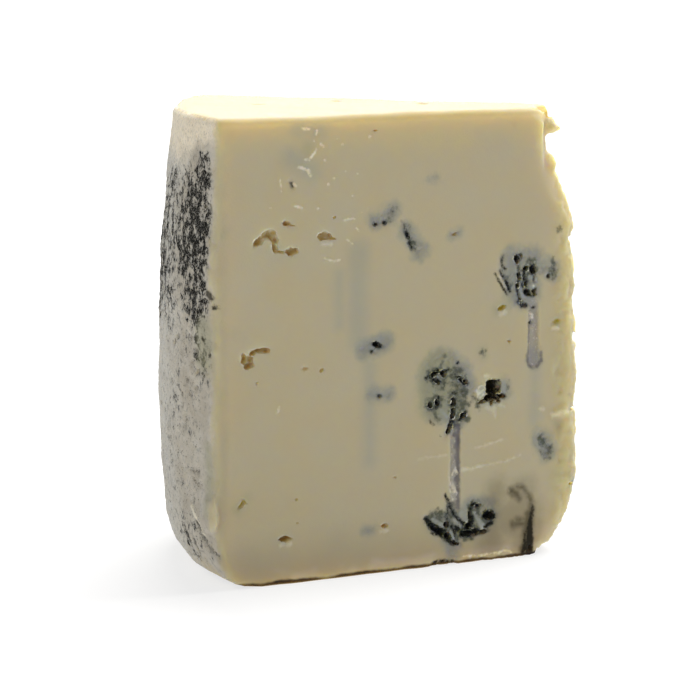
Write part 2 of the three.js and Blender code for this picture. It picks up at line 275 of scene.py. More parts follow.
UPPER_MOULD = [
    line("halo", 9.0, (73.8, 64.8), (74.4, 60.4)),
    line("halo", 4.6, (71.2, 67.4), (77.0, 67.0)),
    line("halo", 4.0, (78.6, 65.0), (82.2, 63.6)),
    line("murk", 2.6, (75.2, 63.6), (75.0, 61.6)),
    line("murk", 1.8, (76.4, 66.0), (77.4, 64.0)),
    line("murk", 1.6, (75.6, 60.0), (76.8, 59.2)),
    line("mould", 0.4, (73.7, 67.6), (73.0, 66.4), (73.3, 64.2), (73.3, 63.0)),
    line("mould", 0.6, (73.3, 63.0), (73.0, 61.0), (72.9, 60.2), end=0.4),
    line("mould", 0.35, (72.9, 60.2), (73.2, 59.2), (73.7, 57.9)),
    line("mould", 0.5, (75.0, 64.6), (75.9, 64.8), (76.8, 65.3), end=0.7),
    line("mould", 0.5, (74.8, 64.2), (74.6, 62.6), (74.9, 61.2)),
    line("mould", 0.3, (77.3, 63.4), (77.2, 61.6)),
    line("mould", 0.4, (77.0, 58.5), (77.6, 59.9)),
    line("mould", 0.4, (73.6, 57.4), (74.1, 56.4), (75.0, 56.5)),
    line("brown", 0.35, (67.1, 64.0), (68.5, 61.8), (69.4, 60.4), end=0.5),
    line("brown", 0.7, (69.4, 60.4), (70.3, 59.2), end=0.5),
    line("mould", 0.35, (68.7, 64.4), (69.1, 63.4), (70.2, 61.8)),
    line("mould", 0.8, (70.2, 61.6), (71.1, 59.9), end=0.5),
    line("murk", 0.9, (70.4, 62.7), (71.1, 61.2)),
    line("mould", 0.22, (69.2, 67.9), (68.9, 66.5), (69.1, 65.5), (69.9, 64.9)),
    line("ridge", 0.5, (68.3, 63.4), (70.0, 60.8)),
    *spot("scrape", 0.5, (75.1, 63.9)),
    *spot("scrape", 0.4, (77.0, 60.7)),
    *spot("petal", 1.2, (76.3, 62.6), (76.7, 60.8)),
    line("petal", 0.9, (73.9, 60.0), (74.5, 58.3)),
    line("petal", 0.4, (77.6, 62.9), (77.6, 61.6)),
    line("murk", 0.9, (82.2, 66.2), (82.3, 64.2)),
    line("murk", 1.4, (82.3, 63.6), (82.6, 62.8)),
    *spot("mould", 0.5, (81.1, 62.6)),
    *spot("murk", 1.1, (83.7, 72.8)),
]
MIDDLE_MOULD = [
    line("halo", 11.0, (54.0, 42.4), (54.4, 37.0)),
    line("halo", 6.0, (57.4, 43.2), (59.6, 39.4)),
    line("halo", 6.0, (57.5, 38.6), (58.0, 32.0), end=4.0),
    line("green", 9.0, (52.6, 44.0), (52.0, 37.0)),
    line("green", 4.0, (56.0, 40.0), (57.0, 33.0)),
    line("murk", 3.4, (52.0, 42.6), (53.4, 41.0)),
    line("murk", 3.6, (57.6, 42.2), (58.6, 40.4)),
    line("murk", 3.6, (58.6, 38.8), (58.8, 34.4), end=2.6),
    line("murk", 3.2, (57.2, 37.6), (57.6, 31.6), end=2.6),
    line("murk", 2.0, (58.6, 34.6), (59.8, 32.6)),
    line("murk", 2.6, (51.2, 36.2), (53.0, 36.8)),
    line("murk", 0.5, (54.3, 46.4), (53.5, 44.6)),
    line("murk", 0.5, (58.2, 34.6), (60.2, 34.6), (60.6, 36.0)),
    line("murk", 0.4, (51.8, 35.0), (53.1, 32.4)),
    line("mould", 0.7, (51.0, 42.4), (52.0, 43.3), (53.2, 43.4), end=1.0),
    line("mould", 0.4, (54.6, 43.0), (55.5, 43.7)),
    line("mould", 0.5, (50.0, 42.1), (51.4, 42.1), (53.2, 40.9), end=0.8),
    line("mould", 0.4, (57.4, 42.2), (58.5, 41.2), (59.6, 40.1), end=0.7),
    *spot("mould", 0.5, (57.9, 44.8), (60.3, 40.1)),
    line("mould", 0.6, (50.9, 36.6), (51.1, 35.5)),
    line("mould", 0.7, (52.6, 35.4), (53.0, 36.6), (53.2, 37.6), end=0.4),
    line("mould", 0.4, (56.4, 38.2), (56.9, 38.5), (57.3, 38.0)),
    line("mould", 0.8, (56.8, 37.2), (56.9, 35.8), end=1.0),
    line("mould", 0.9, (56.7, 35.0), (56.8, 33.0), end=0.7),
    line("mould", 0.6, (56.7, 32.8), (57.0, 31.0), end=0.4),
    line("mould", 0.6, (56.2, 32.2), (55.6, 29.4), end=0.4),
    line("mould", 0.7, (60.0, 33.8), (58.6, 32.2)),
    line("brown", 0.4, (50.7, 33.0), (51.1, 32.0)),
    *spot("brown", 0.4, (53.5, 29.1), (51.8, 31.6)),
    *spot("scrape", 0.4, (56.9, 37.5), (58.4, 31.7)),
    *spot("scrape", 0.3, (55.8, 33.2), (57.7, 33.6), (52.0, 36.4)),
    line("petal", 0.5, (52.0, 42.8), (53.0, 42.0)),
    line("petal", 0.5, (58.0, 41.2), (58.9, 40.4)),
    line("petal", 0.8, (53.8, 34.6), (55.2, 33.2)),
]
LARGE_HOLE = [
    line("halo", 2.0, (69.7, 39.6), (69.8, 37.4)),
    line("petal", 0.9, (69.8, 39.8), (69.8, 37.6)),
    line("murk", 0.5, (70.4, 39.6), (70.3, 38.0)),
    line("murk", 0.7, (61.8, 37.3), (62.5, 35.9), (63.3, 34.5)),
    line("petal", 2.0, (63.4, 38.6), (64.2, 37.4), end=1.4),
    line("scrape", 0.5, (62.6, 38.6), (63.4, 39.4), (64.6, 39.3), end=0.2),
    line("scrape", 0.5, (62.9, 37.6), (63.9, 38.2), (65.0, 38.4), end=0.2),
    line("scrape", 0.4, (63.6, 36.7), (64.1, 37.5), (64.9, 37.3), end=0.2),
    line("scrape", 0.3, (62.6, 38.4), (62.9, 37.0)),
    line("ridge", 0.8, (65.2, 34.6), (66.4, 34.0), end=0.4),
    line("ridge", 0.9, (67.0, 34.4), (67.4, 32.4), end=0.4),
    line("ridge", 0.8, (68.4, 34.9), (69.8, 34.4), end=0.4),
    line("ridge", 0.6, (64.6, 41.6), (65.6, 41.5)),
]
LOWER_MOULD = [
    line("halo", 5.0, (52.6, 10.0), (65.6, 10.4)),
    line("halo", 4.8, (61.5, 12.5), (66.0, 12.0)),
    line("halo", 4.2, (56.4, 5.0), (56.6, 0.8), end=3.0),
    line("murk", 4.8, (52.6, 10.4), (56.4, 9.2)),
    line("murk", 2.0, (56.6, 12.6), (57.8, 9.8)),
    line("murk", 3.0, (56.6, 9.6), (57.6, 6.4)),
    line("murk", 3.4, (59.0, 8.4), (62.6, 8.2)),
    line("murk", 2.6, (62.4, 12.6), (62.6, 9.6)),
    line("murk", 2.2, (64.8, 9.4), (66.4, 9.2)),
    line("murk", 1.6, (60.0, 5.8), (61.6, 5.7)),
    line("mould", 0.35, (55.1, 15.7), (56.2, 13.5), (57.1, 11.3), end=0.5),
    line("mould", 0.5, (57.1, 11.3), (58.6, 9.8), (60.3, 8.3), end=0.7),
    line("mould", 0.25, (55.8, 13.0), (55.4, 10.0)),
    line("mould", 0.8, (50.1, 10.9), (50.6, 10.2), (51.6, 9.1), end=1.3),
    line("mould", 1.4, (51.6, 9.1), (53.2, 8.0), (54.9, 6.9), end=1.8),
    line("mould", 1.4, (54.9, 6.6), (56.6, 5.0), (58.0, 4.5), end=0.5),
    line("mould", 0.5, (56.6, 8.6), (57.6, 6.4)),
    line("mould", 0.8, (57.8, 8.2), (59.4, 6.6), end=1.3),
    line("mould", 1.9, (59.4, 6.8), (61.4, 6.6), (63.0, 6.8), end=1.3),
    line("mould", 1.0, (63.0, 6.6), (65.0, 6.6), end=0.6),
    line("mould", 1.8, (60.8, 7.6), (61.4, 9.0), end=1.2),
    line("mould", 1.0, (61.2, 11.4), (61.8, 13.2)),
    line("mould", 0.9, (61.8, 13.0), (63.8, 12.7), end=0.5),
    line("mould", 0.9, (61.6, 10.4), (61.8, 8.4)),
    line("mould", 2.0, (65.3, 10.3), (67.0, 9.9), end=1.5),
    line("mould", 0.8, (65.2, 10.8), (66.8, 10.9)),
    line("mould", 0.7, (65.2, 7.6), (66.8, 8.4)),
    line("petal", 0.6, (62.3, 11.2), (63.2, 9.6), end=0.9),
    line("petal", 1.0, (63.2, 9.6), (64.5, 7.7), end=1.4),
    line("petal", 1.5, (59.2, 11.0), (60.4, 9.2), end=1.0),
    line("petal", 0.9, (57.2, 10.0), (58.6, 8.4)),
    line("petal", 0.7, (56.6, 7.6), (57.0, 5.6)),
    line("petal", 0.9, (52.0, 10.4), (54.5, 8.8)),
    *spot("scrape", 0.35, (62.6, 10.8), (64.4, 7.6), (57.0, 5.9)),
    line("green", 1.6, (65.6, 8.7), (66.8, 8.9)),
    line("brown", 0.5, (51.5, 7.6), (53.6, 6.6)),
    line("mould", 0.8, (52.4, 0.7), (54.7, 0.9), (57.3, 0.6), end=0.4),
    line("scrape", 0.5, (68.6, 1.3), (70.2, 1.8), (71.8, 1.3)),
    line("scrape", 0.3, (59.5, 1.6), (63.3, 1.3), (68.1, 1.4)),
]
# Needle channels; the dark lines along their walls are partly stain and partly painted shadow.
NEEDLE_CHANNELS = [
    line("canal", 2.5, (57.4, 31.0), (57.4, 12.6)),
    line("wall_stain_and_shade", 1.0, (58.1, 30.8), (58.2, 12.6), end=0.8),
    *spot("wall_stain_and_shade", 1.3, (57.5, 29.0), (57.7, 26.4), (57.9, 24.0), (57.8, 19.0)),
    line("scrape", 0.6, (57.4, 21.6), (58.0, 20.2)),
    line("scrape", 0.3, (57.0, 21.0), (56.6, 19.8)),
    line("scrape", 0.3, (55.9, 19.6), (56.4, 17.4)),
    line("scrape", 0.35, (56.6, 18.8), (57.4, 16.2)),
    line("scrape", 0.3, (57.2, 18.0), (57.9, 15.4)),
    line("scrape", 0.35, (56.2, 16.6), (57.0, 14.4)),
    *spot("scrape", 0.3, (57.6, 28.2), (57.0, 25.4), (56.9, 22.9)),
    line("canal", 2.5, (77.1, 57.0), (77.3, 43.6)),
    line("halo", 2.8, (77.5, 45.4), (77.6, 43.6)),
    line("wall_stain_and_shade", 0.4, (76.0, 52.0), (75.8, 43.4)),
    line("wall_stain_and_shade", 0.6, (75.6, 45.4), (75.8, 43.2), (76.7, 42.4)),
    line("wall_stain_and_shade", 0.7, (79.1, 45.7), (79.1, 43.9), (78.2, 42.7)),
    line("scrape", 0.5, (76.1, 54.6), (76.9, 54.4)),
    *spot("scrape", 0.5, (76.8, 53.7)),
    *spot("mould", 0.6, (76.4, 52.6), (77.2, 55.8)),
    line("vein", 2.6, (77.6, 30.0), (77.6, 42.6)),
    line("vein", 4.6, (33.2, 51.5), (33.2, 70.5)),
    line("vein", 3.0, (36.0, 25.0), (36.0, 46.0)),
    line("vein", 2.0, (28.6, 55.0), (28.6, 66.0)),
]
CORNER_MOULD = [
    line("smoke", 2.2, (76.2, 9.4), (76.0, 6.0), (75.9, 0.6), end=3.0),
    line("smoke", 1.5, (72.4, 7.5), (75.0, 7.4)),
    line("smoke", 1.3, (77.0, 10.0), (76.8, 12.4), (76.2, 14.0), end=0.6),
    line("smoke", 0.5, (76.2, 14.0), (74.8, 15.6), (73.2, 16.0)),
    line("smoke", 1.6, (71.8, 15.2), (73.2, 14.4), (73.8, 13.2), end=0.6),
    line("smoke", 1.2, (73.4, 8.3), (76.4, 8.6)),
    line("brown", 0.6, (76.9, 9.8), (76.6, 6.6), (76.7, 0.6), end=2.2),
    line("brown", 0.4, (75.4, 5.0), (75.0, 0.6), end=1.0),
    line("brown", 0.4, (77.4, 11.2), (77.2, 9.2), end=0.8),
    line("haze", 9.0, (70.6, 9.0), (74.6, 9.0), end=11.0),
    line("haze", 7.0, (74.6, 14.6), (75.8, 2.0)),
    line("haze", 7.0, (68.0, 15.0), (66.6, 4.0)),
]
SMALL_MOULD = [
    line("halo", 4.6, (79.5, 26.4), (81.0, 23.2)),
    line("murk", 1.1, (79.2, 26.4), (80.5, 24.8)),
    line("murk", 0.5, (79.3, 23.2), (80.2, 22.6)),
    line("murk", 0.5, (81.9, 24.2), (81.7, 22.0), (80.9, 21.7)),
    *spot("scrape", 0.5, (80.5, 23.9)),
    *spot("murk", 1.2, (64.2, 46.8)),
    *spot("green", 2.6, (64.2, 46.8)),
    line("halo", 4.0, (35.0, 49.4), (39.6, 50.6)),
    line("mould", 0.8, (37.3, 50.5), (38.6, 49.9)),
    *spot("mould", 0.5, (36.6, 48.8)),
    line("halo", 2.8, (36.4, 39.4), (40.6, 39.0)),
    *spot("mould", 0.2, (38.5, 39.0)),
    line("halo", 3.4, (37.8, 77.0), (41.4, 79.0)),
    *spot("mould", 0.3, (37.5, 76.3), (39.7, 76.5)),
    line("murk", 0.7, (40.8, 77.2), (41.8, 79.4)),
    line("halo", 4.0, (45.2, 74.6), (48.2, 70.2)),
    line("murk", 1.3, (45.2, 74.8), (46.0, 72.6), (47.0, 71.0), end=0.8),
    line("mould", 0.1, (44.7, 75.0), (45.3, 72.8), (46.4, 70.7), end=0.3),
    line("halo", 1.6, (34.6, 9.7), (36.4, 9.7)),
    line("green", 2.4, (4.6, 17.4), (6.4, 19.4)),
    line("green", 2.2, (67.8, 56.0), (70.0, 56.7)),
    *spot("green", 2.0, (83.3, 52.6), (1.5, 76.2), (21.5, 93.5)),
    *spot("green", 3.4, (81.6, 96.0)),
    line("halo", 2.6, (82.8, 96.4), (84.6, 95.8)),
    line("halo", 1.2, (56.2, 73.0), (57.9, 73.5)),
    line("halo", 1.0, (50.6, 85.3), (52.4, 85.8)),
]
# Curd smeared and torn by the knife: pale lines, and a rough patch near the top left.
KNIFE_MARKS = [
    line("ridge", 0.9, (59.0, 21.0), (63.5, 21.4), end=0.5),
    line("ridge", 0.3, (63.5, 21.4), (70.0, 22.0), (74.0, 23.0), end=0.1),
    line("ridge", 0.2, (62.5, 25.7), (66.0, 26.2), (69.6, 27.1)),
    line("ridge", 0.2, (48.0, 24.4), (55.0, 24.7)),
    line("ridge", 1.0, (82.4, 31.5), (86.0, 31.8)),
    line("green", 1.6, (83.4, 29.4), (84.2, 29.0)),
    line("ridge", 0.8, (79.0, 33.0), (79.8, 33.0)),
    line("ridge", 0.6, (14.4, 8.7), (16.8, 8.6)),
    line("ridge", 0.6, (24.6, 72.7), (26.6, 72.6)),
    line("ridge", 1.0, (68.6, 55.0), (69.6, 55.2)),
    line("ridge", 0.9, (82.4, 51.0), (83.4, 50.9)),
    line("ridge", 0.5, (38.8, 9.2), (40.4, 9.2)),
    line("vein", 4.0, (19.0, 97.4), (24.0, 97.2)),
    line("vein", 4.0, (17.0, 91.6), (22.0, 88.0)),
    line("scrape", 0.4, (19.8, 97.6), (20.6, 97.2), (21.4, 97.1)),
    line("scrape", 0.4, (23.2, 96.8), (23.3, 96.0)),
    line("scrape", 0.3, (20.6, 90.8), (21.6, 90.7)),
    line("scrape", 0.6, (21.8, 91.0), (22.5, 91.8), (23.2, 93.0), end=0.3),
    line("scrape", 0.4, (24.2, 93.9), (24.9, 93.4)),
    line("scrape", 0.5, (19.0, 89.2), (20.6, 88.8), end=0.4),
    line("scrape", 0.6, (21.2, 88.5), (21.8, 87.3), end=0.4),
    line("scrape", 0.35, (14.5, 86.9), (14.9, 85.4), (14.9, 84.4), end=0.2),
    line("scrape", 0.4, (17.9, 85.9), (18.4, 85.3)),
    line("scrape", 0.3, (18.1, 81.1), (19.8, 80.5), end=0.2),
    *spot("scrape", 0.35, (28.2, 95.0), (29.4, 93.6), (25.2, 90.4), (30.2, 88.0), (27.4, 86.6)),
    *spot("scrape", 0.4, (36.0, 95.0), (33.0, 87.4), (26.0, 85.4), (23.4, 80.4), (12.4, 81.0)),
    *spot("scrape", 0.3, (26.8, 92.6), (31.6, 92.4), (22.6, 94.6), (34.2, 79.0), (31.8, 82.6)),
    line("scrape", 0.25, (29.6, 77.6), (32.6, 77.8)),
    line("scrape", 0.25, (32.8, 75.8), (33.4, 75.0)),
    line("scrape", 0.25, (30.4, 73.4), (31.8, 72.4)),
    line("scrape", 0.25, (25.2, 69.6), (27.4, 68.9), (28.9, 69.2)),
    line("scrape", 0.25, (14.2, 38.6), (13.8, 37.2)),
    line("mould", 0.3, (17.4, 86.0), (17.5, 85.4)),
]
FRONT_MARKS = [
    *UPPER_MOULD,
    *MIDDLE_MOULD,
    *LARGE_HOLE,
    *LOWER_MOULD,
    *NEEDLE_CHANNELS,
    *CORNER_MOULD,
    *SMALL_MOULD,
    *KNIFE_MARKS,
]
# A vein comes out at the back edge of the top.
TOP_MARKS = [
    line("mould", 0.9, (61.0, 36.0), (64.5, 33.4), (67.5, 31.2), end=0.5),
    line("halo", 2.2, (60.5, 36.2), (68.0, 31.0)),
    line("mould", 0.5, (58.0, 37.6), (59.4, 36.8)),
    line("vein", 2.0, (40.0, 24.0), (46.0, 22.0)),
]

# Specks and cracks on the rind beside the front face: place along the arc, and height.
RIND_MARKS = [
    line("brown", 1.5, (2.6, 63.4), (1.2, 62.6)),
    *spot("brown", 1.1, (0.4, 60.6), (4.7, 53.5), (2.3, 50.3)),
    line("green", 7.0, (4.0, 55.0), (4.6, 50.0)),
    line("green", 3.0, (2.6, 30.0), (2.4, 17.0)),
    *spot("mould", 1.0, (8.0, 50.6), (10.5, 53.0), (20.0, 51.0), (18.0, 52.4), (22.5, 42.2)),
    *spot("mould", 0.5, (9.8, 47.7), (7.7, 46.2), (12.0, 43.8), (7.9, 42.6), (10.8, 41.0), (15.0, 40.4)),
    *spot("mould", 0.5, (13.8, 34.6), (29.0, 34.8), (31.0, 30.2), (23.0, 29.4), (24.0, 24.0)),
    line("mould", 0.4, (13.4, 35.6), (14.0, 33.4)),
    line("mould", 0.4, (10.2, 19.0), (10.7, 16.8)),
    line("mould", 0.4, (11.2, 24.4), (7.0, 24.7)),
    line("mould", 0.4, (10.0, 22.8), (8.4, 22.0), (5.8, 21.8)),
    line("mould", 1.3, (9.2, 13.2), (7.0, 10.6), (4.6, 8.4), end=0.8),
    line("mould", 0.7, (4.6, 8.4), (1.2, 7.2), end=0.3),
    line("mould", 1.8, (17.0, 10.6), (15.4, 7.6), end=1.2),
    line("mould", 0.8, (12.4, 9.0), (11.8, 6.6)),
    line("ridge", 1.0, (11.2, 16.4), (9.4, 14.6), (6.4, 10.8), end=0.6),
]

# How many half sizes a patch of the rind's mould reaches out, and over how many it fades.
BLOOM_REACH = 1.35
BLOOM_FADE = 0.75
# Patches of black mould on the rind: place along the arc and up it, half sizes, strength.
RIND_BLOOM = (
    (11.0, 76.0, 13.0, 17.0, 1.0),
    (9.0, 63.0, 9.0, 9.0, 0.95),
    (7.0, 86.0, 5.5, 10.0, 1.0),
    (26.0, 72.0, 12.0, 22.0, 0.8),
    (13.0, 54.0, 9.0, 8.0, 0.55),
    (5.0, 51.0, 5.0, 9.0, 0.8),
    (8.0, 42.0, 5.0, 7.0, 0.5),
    (17.5, 41.0, 5.0, 8.0, 0.6),
    (23.0, 32.0, 5.0, 9.0, 0.55),
    (11.0, 35.0, 3.0, 7.0, 0.45),
    (20.0, 24.0, 8.0, 9.0, 0.42),
    (26.0, 34.0, 14.0, 18.0, 0.3),
    (15.0, 9.0, 12.0, 7.0, 0.6),
    (34.0, 18.0, 12.0, 14.0, 0.4),
    (40.0, 68.0, 12.0, 20.0, 0.95),
    (56.0, 80.0, 15.0, 12.0, 0.95),
    (64.0, 52.0, 11.0, 14.0, 0.66),
    (50.0, 28.0, 14.0, 16.0, 0.45),
    (68.0, 14.0, 10.0, 9.0, 0.6),
)

# The mould on the back face: middle of each patch, and how far it spreads; and each needle
# channel's place along the face, its foot and its top.
BACK_PATCHES = (
    (34.0, 70.0, 8.0),
    (50.0, 36.0, 9.0),
    (74.0, 62.0, 7.0),
    (66.0, 15.0, 8.0),
    (85.0, 40.0, 4.5),
)
BACK_CHANNELS = ((50.5, 6.0, 30.0), (34.5, 42.0, 64.0), (74.5, 20.0, 56.0))
BACK_SPECKS = 14
SEED = 7


def random_patch(draw, x, z, spread):
    """Strokes for a flower of mould: dark arms and pale petals in murk, in a soft halo."""

    def beside(place, reach):
        turn = draw.uniform(0.0, math.tau)
        return (place[0] + reach * math.cos(turn), place[1] + reach * math.sin(turn))

    marks = []
    for _ in range(5):
        marks.append(line("halo", spread * draw.uniform(0.8, 1.2), (x, z), beside((x, z), spread * 0.5)))
    for _ in range(int(0.7 * spread)):
        start = beside((x, z), spread * draw.uniform(0.0, 0.5))
        marks.append(line("murk", draw.uniform(1.6, 3.6), start, beside(start, draw.uniform(0.6, 2.4))))
    for _ in range(int(2.6 * spread)):
        start = beside((x, z), spread * draw.uniform(0.05, 0.65))
        middle = beside(start, draw.uniform(0.4, 1.3))
        end = beside(middle, draw.uniform(0.4, 1.3))
        layer = "petal" if draw.random() < 0.34 else "mould"
        marks.append(line(layer, draw.uniform(0.6, 2.0), start, middle, end, end=draw.uniform(0.3, 1.1)))
    return marks


def back_marks():
    """The marks of the back face, by the same kinds as the front ones."""
    draw = random.Random(SEED)
    marks = []
    for x, z, spread in BACK_PATCHES:
        marks += random_patch(draw, x, z, spread)
    for x, low, high in BACK_CHANNELS:
        marks.append(line("canal", 1.9, (x, low), (x + 0.2, high)))
        # A dark line down one wall of each channel: partly stain, partly painted shadow.
        wall = x + 0.8
        marks.append(line("wall_stain_and_shade", 0.5, (wall, low + 1.0), (wall, high - 1.0), end=0.2))
        knots = [(x + draw.uniform(-0.9, 0.9), draw.uniform(low, high)) for _ in range(4)]
        marks += spot("mould", 0.7, *knots)
    for _ in range(BACK_SPECKS):
        x = draw.uniform(22.0, 92.0)
        z = draw.uniform(6.0, 94.0)
        marks += spot("halo", draw.uniform(1.2, 3.4), (x, z))
        marks += spot("mould", draw.uniform(0.4, 1.2), (x, z))
    return marks


# ---- Places on the faces ---------------------------------------------------------------------


class Face(NamedTuple):
    """A flat face: the point its places are counted from, and the directions along and up it."""

    origin: Vector
    along: Vector
    up: Vector

    @property
    def outward(self):
        return self.along.cross(self.up)

    def basis(self):
        """The turn that takes x along the face, y up it and z out of it."""
        return Matrix((self.along, self.up, self.outward)).transposed()

    def places(self, points):
        """How far along, how far up and how deep under the face each point lies."""
        local = (points - np.array(self.origin)) @ np.array(self.basis())
        return local[:, 0], local[:, 1], -local[:, 2]


X_AXIS, Y_AXIS, Z_AXIS = Vector((1, 0, 0)), Vector((0, 1, 0)), Vector((0, 0, 1))
FRONT = Face(HEEL_CORNER, X_AXIS, Z_AXIS)
BACK = Face(DRUM_AXIS, Vector((-math.cos(WEDGE_ANGLE), math.sin(WEDGE_ANGLE), 0.0)), Z_AXIS)
UPPER = Face(HEEL_CORNER + TOP * Z_AXIS, X_AXIS, Y_AXIS)


def rind_places(points):
    """Place along the rind's arc, height and depth under the rind of each point."""
    across = DRUM_AXIS.x - points[:, 0]
    inward = points[:, 1] - DRUM_AXIS.y
    angle = np.arctan2(inward, np.maximum(across, 1e-6))
    height = points[:, 2]
    share = BELLY_START + BELLY_SHARE * np.clip(angle / WEDGE_ANGLE, 0.0, 1.0)
    rise = (height - BELLY_HEIGHT) / BELLY_SPREAD
    belly = BELLY_SWELL * (1.0 - rise**2) * np.sin(math.pi * share)
    drop = 1.0 - np.clip(height / FOOT_HEIGHT, 0.0, 1.0)
    foot = FOOT_INSET * (1.0 - np.sqrt(np.maximum(1.0 - drop**2, 0.0)))
    return angle * DRUM_RADIUS, height, DRUM_RADIUS + belly - foot - np.hypot(across, inward)


def axis_distance(points):
    """How far each point lies from the drum's axis, where the wedge would end in a point."""
    return np.hypot(points[:, 0] - DRUM_AXIS.x, points[:, 1] - DRUM_AXIS.y)


def back_depth(points):
    """How deep each point lies under the swollen back face."""
    reach, height, depth = BACK.places(points)
    return reach, height, depth + BACK_SWELL * np.sin(math.pi * np.clip(reach / DRUM_RADIUS, 0.0, 1.0))


def segment_nearness(u, v, depth, start, end, half_start, half_end):
    """How far inside a tapering line each place lies; depth under the face counts for less."""
    run = np.array(end) - np.array(start)
    length = float(run @ run)
    du = u - start[0]
    dv = v - start[1]
    share = np.clip((du * run[0] + dv * run[1]) / length, 0.0, 1.0) if length > 0 else 0.0
    away = np.sqrt((du - share * run[0]) ** 2 + (dv - share * run[1]) ** 2 + (DEPTH_SHARE * depth) ** 2)
    return half_start + (half_end - half_start) * share - away


def paint_strokes(layers, places, strokes):
    """Raises the layers where strokes run."""
    u, v, depth = places
    for stroke in strokes:
        layer = layers[stroke.layer]
        count = len(stroke.points) - 1
        for i in range(count):
            start, end = stroke.points[i], stroke.points[i + 1]
            close = np.flatnonzero(
                (np.abs(depth) < STROKE_REACH)
                & (u > min(start[0], end[0]) - STROKE_REACH)
                & (u < max(start[0], end[0]) + STROKE_REACH)
                & (v > min(start[1], end[1]) - STROKE_REACH)
                & (v < max(start[1], end[1]) + STROKE_REACH)
            )
            first, last = stroke.widths
            half_start = 0.5 * (first + (last - first) * i / count)
            half_end = 0.5 * (first + (last - first) * (i + 1) / count)
            near = segment_nearness(u[close], v[close], depth[close], start, end, half_start, half_end)
            layer[close] = np.maximum(layer[close], near)


def paint_lobes(layer, places, lobes):
    """Raises a layer inside the lobes of holes."""
    u, v, depth = places
    for lobe in lobes:
        turn = math.radians(lobe.tilt)
        along = (u - lobe.x) * math.cos(turn) + (v - lobe.z) * math.sin(turn)
        over = (v - lobe.z) * math.cos(turn) - (u - lobe.x) * math.sin(turn)
        share = np.sqrt((2 * along / lobe.width) ** 2 + (2 * over / lobe.height) ** 2)
        near = (1.0 - share) * 0.5 * min(lobe.width, lobe.height)
        layer[:] = np.where(np.abs(depth) < LOBE_REACH, np.maximum(layer, near), layer)


def surface_layers(points):
    """All layers at each point of the surface, with the depth under the nearest face."""
    layers = {name: np.full(len(points), FAR_OUTSIDE) for name in LAYERS}
    front = FRONT.places(points)
    back = back_depth(points)
    top = UPPER.places(points)
    arc, height, rind = rind_places(points)
    paint_strokes(layers, front, FRONT_MARKS)
    paint_strokes(layers, back, back_marks())
    paint_strokes(layers, top, TOP_MARKS)
    paint_strokes(layers, (arc, height, rind), RIND_MARKS)
    paint_lobes(layers["eye"], front, EYES)
    paint_lobes(layers["brown"], front, CAVITY)
    paint_lobes(layers["mould"], front, MOULD_PITS)

    hidden = np.minimum(back[2], top[2])
    sunk = np.minimum(hidden - HIDDEN_HOLE_DEPTH, HIDDEN_HOLE_RUN)
    facing_away = hidden < np.minimum.reduce([front[2], rind, height])
    layers["eye"] = np.where(facing_away, np.maximum(layers["eye"], sunk), layers["eye"])
    layers["depth"] = np.minimum.reduce([front[2], back[2], top[2], rind, height])
    layers["rind"] = np.minimum(rind, height)
    layers["heel"] = rind
    layers["arc"] = np.minimum(arc, WEDGE_ANGLE * DRUM_RADIUS - arc)
    layers["side"] = np.hypot(points[:, 0] - HEEL_CORNER.x, points[:, 1] - HEEL_CORNER.y)
    layers["bloom"] = rind_bloom(arc, height)
    layers["tip"] = axis_distance(points)
    return layers


def rind_bloom(arc, height):
    """How strong the black mould on the rind is, from 0 to about 1."""
    bloom = np.zeros(len(arc))
    for middle, up, half_arc, half_up, strength in RIND_BLOOM:
        away = np.hypot((arc - middle) / half_arc, (height - up) / half_up)
        bloom = np.maximum(bloom, strength * np.clip(BLOOM_REACH - away, 0.0, BLOOM_FADE) / BLOOM_FADE)
    return bloom


# ---- Working on meshes -----------------------------------------------------------------------

WEIGHT_STEPS = 24


def only(*objects):
    """Selects these objects alone and makes the first one active."""
    bpy.ops.object.select_all(action="DESELECT")
    for obj in objects:
        obj.select_set(True)
    bpy.context.view_layer.objects.active = objects[0]


def apply_modifier(obj, kind, name, **settings):
    """Adds a modifier, sets it and applies it."""
    only(obj)
    modifier = obj.modifiers.new(name, kind)
    for key, value in settings.items():
        setattr(modifier, key, value)
    bpy.ops.object.modifier_apply(modifier=modifier.name)


def vertex_places(obj):
    """The piece's vertices in millimetres, one row each."""
    places = np.empty(len(obj.data.vertices) * 3, np.float32)
    obj.data.vertices.foreach_get("co", places)
    return places.reshape(-1, 3).astype(float) / MM


def weigh(obj, name, weights):
    """Paints a new vertex group with weights from 0 to 1, in small steps."""
    group = obj.vertex_groups.new(name=name)
    level = np.rint(np.clip(weights, 0.0, 1.0) * WEIGHT_STEPS).astype(int)
    for step in range(1, WEIGHT_STEPS + 1):
        chosen = np.flatnonzero(level == step)
        if len(chosen):
            group.add(chosen.tolist(), step / WEIGHT_STEPS, "REPLACE")


def ramp(values, low, high):
    """0 below low, 1 above high, smooth between them."""
    share = np.clip((values - low) / (high - low), 0.0, 1.0)
    return share * share * (3.0 - 2.0 * share)


def texture(name, kind, size, **settings):
    """A procedural texture whose features are about size millimetres wide."""
    made = bpy.data.textures.new(name, kind)
    made.noise_scale = size * MM
    for key, value in settings.items():
        setattr(made, key, value)
    return made


def roughen(obj, group, pattern, strength, middle=0.5):
    """Moves the surface in and out by a texture, as strongly as a vertex group says."""
    apply_modifier(
        obj,
        "DISPLACE",
        group,
        texture=pattern,
        texture_coords="LOCAL",
        vertex_group=group,
        strength=strength * MM,
        mid_level=middle,
    )


def piece():
    """The modelled cheese."""
    return bpy.data.objects[PIECE]


# ---- Settings --------------------------------------------------------------------------------


def colour(description, default):
    """A colour that a user may change."""
    return bpy.props.FloatVectorProperty(
        name=description[0].upper() + description[1:],
        description=f"Colour of the {description}",
        subtype="COLOR",
        size=3,
        min=0.0,
        max=1.0,
        default=default,
    )


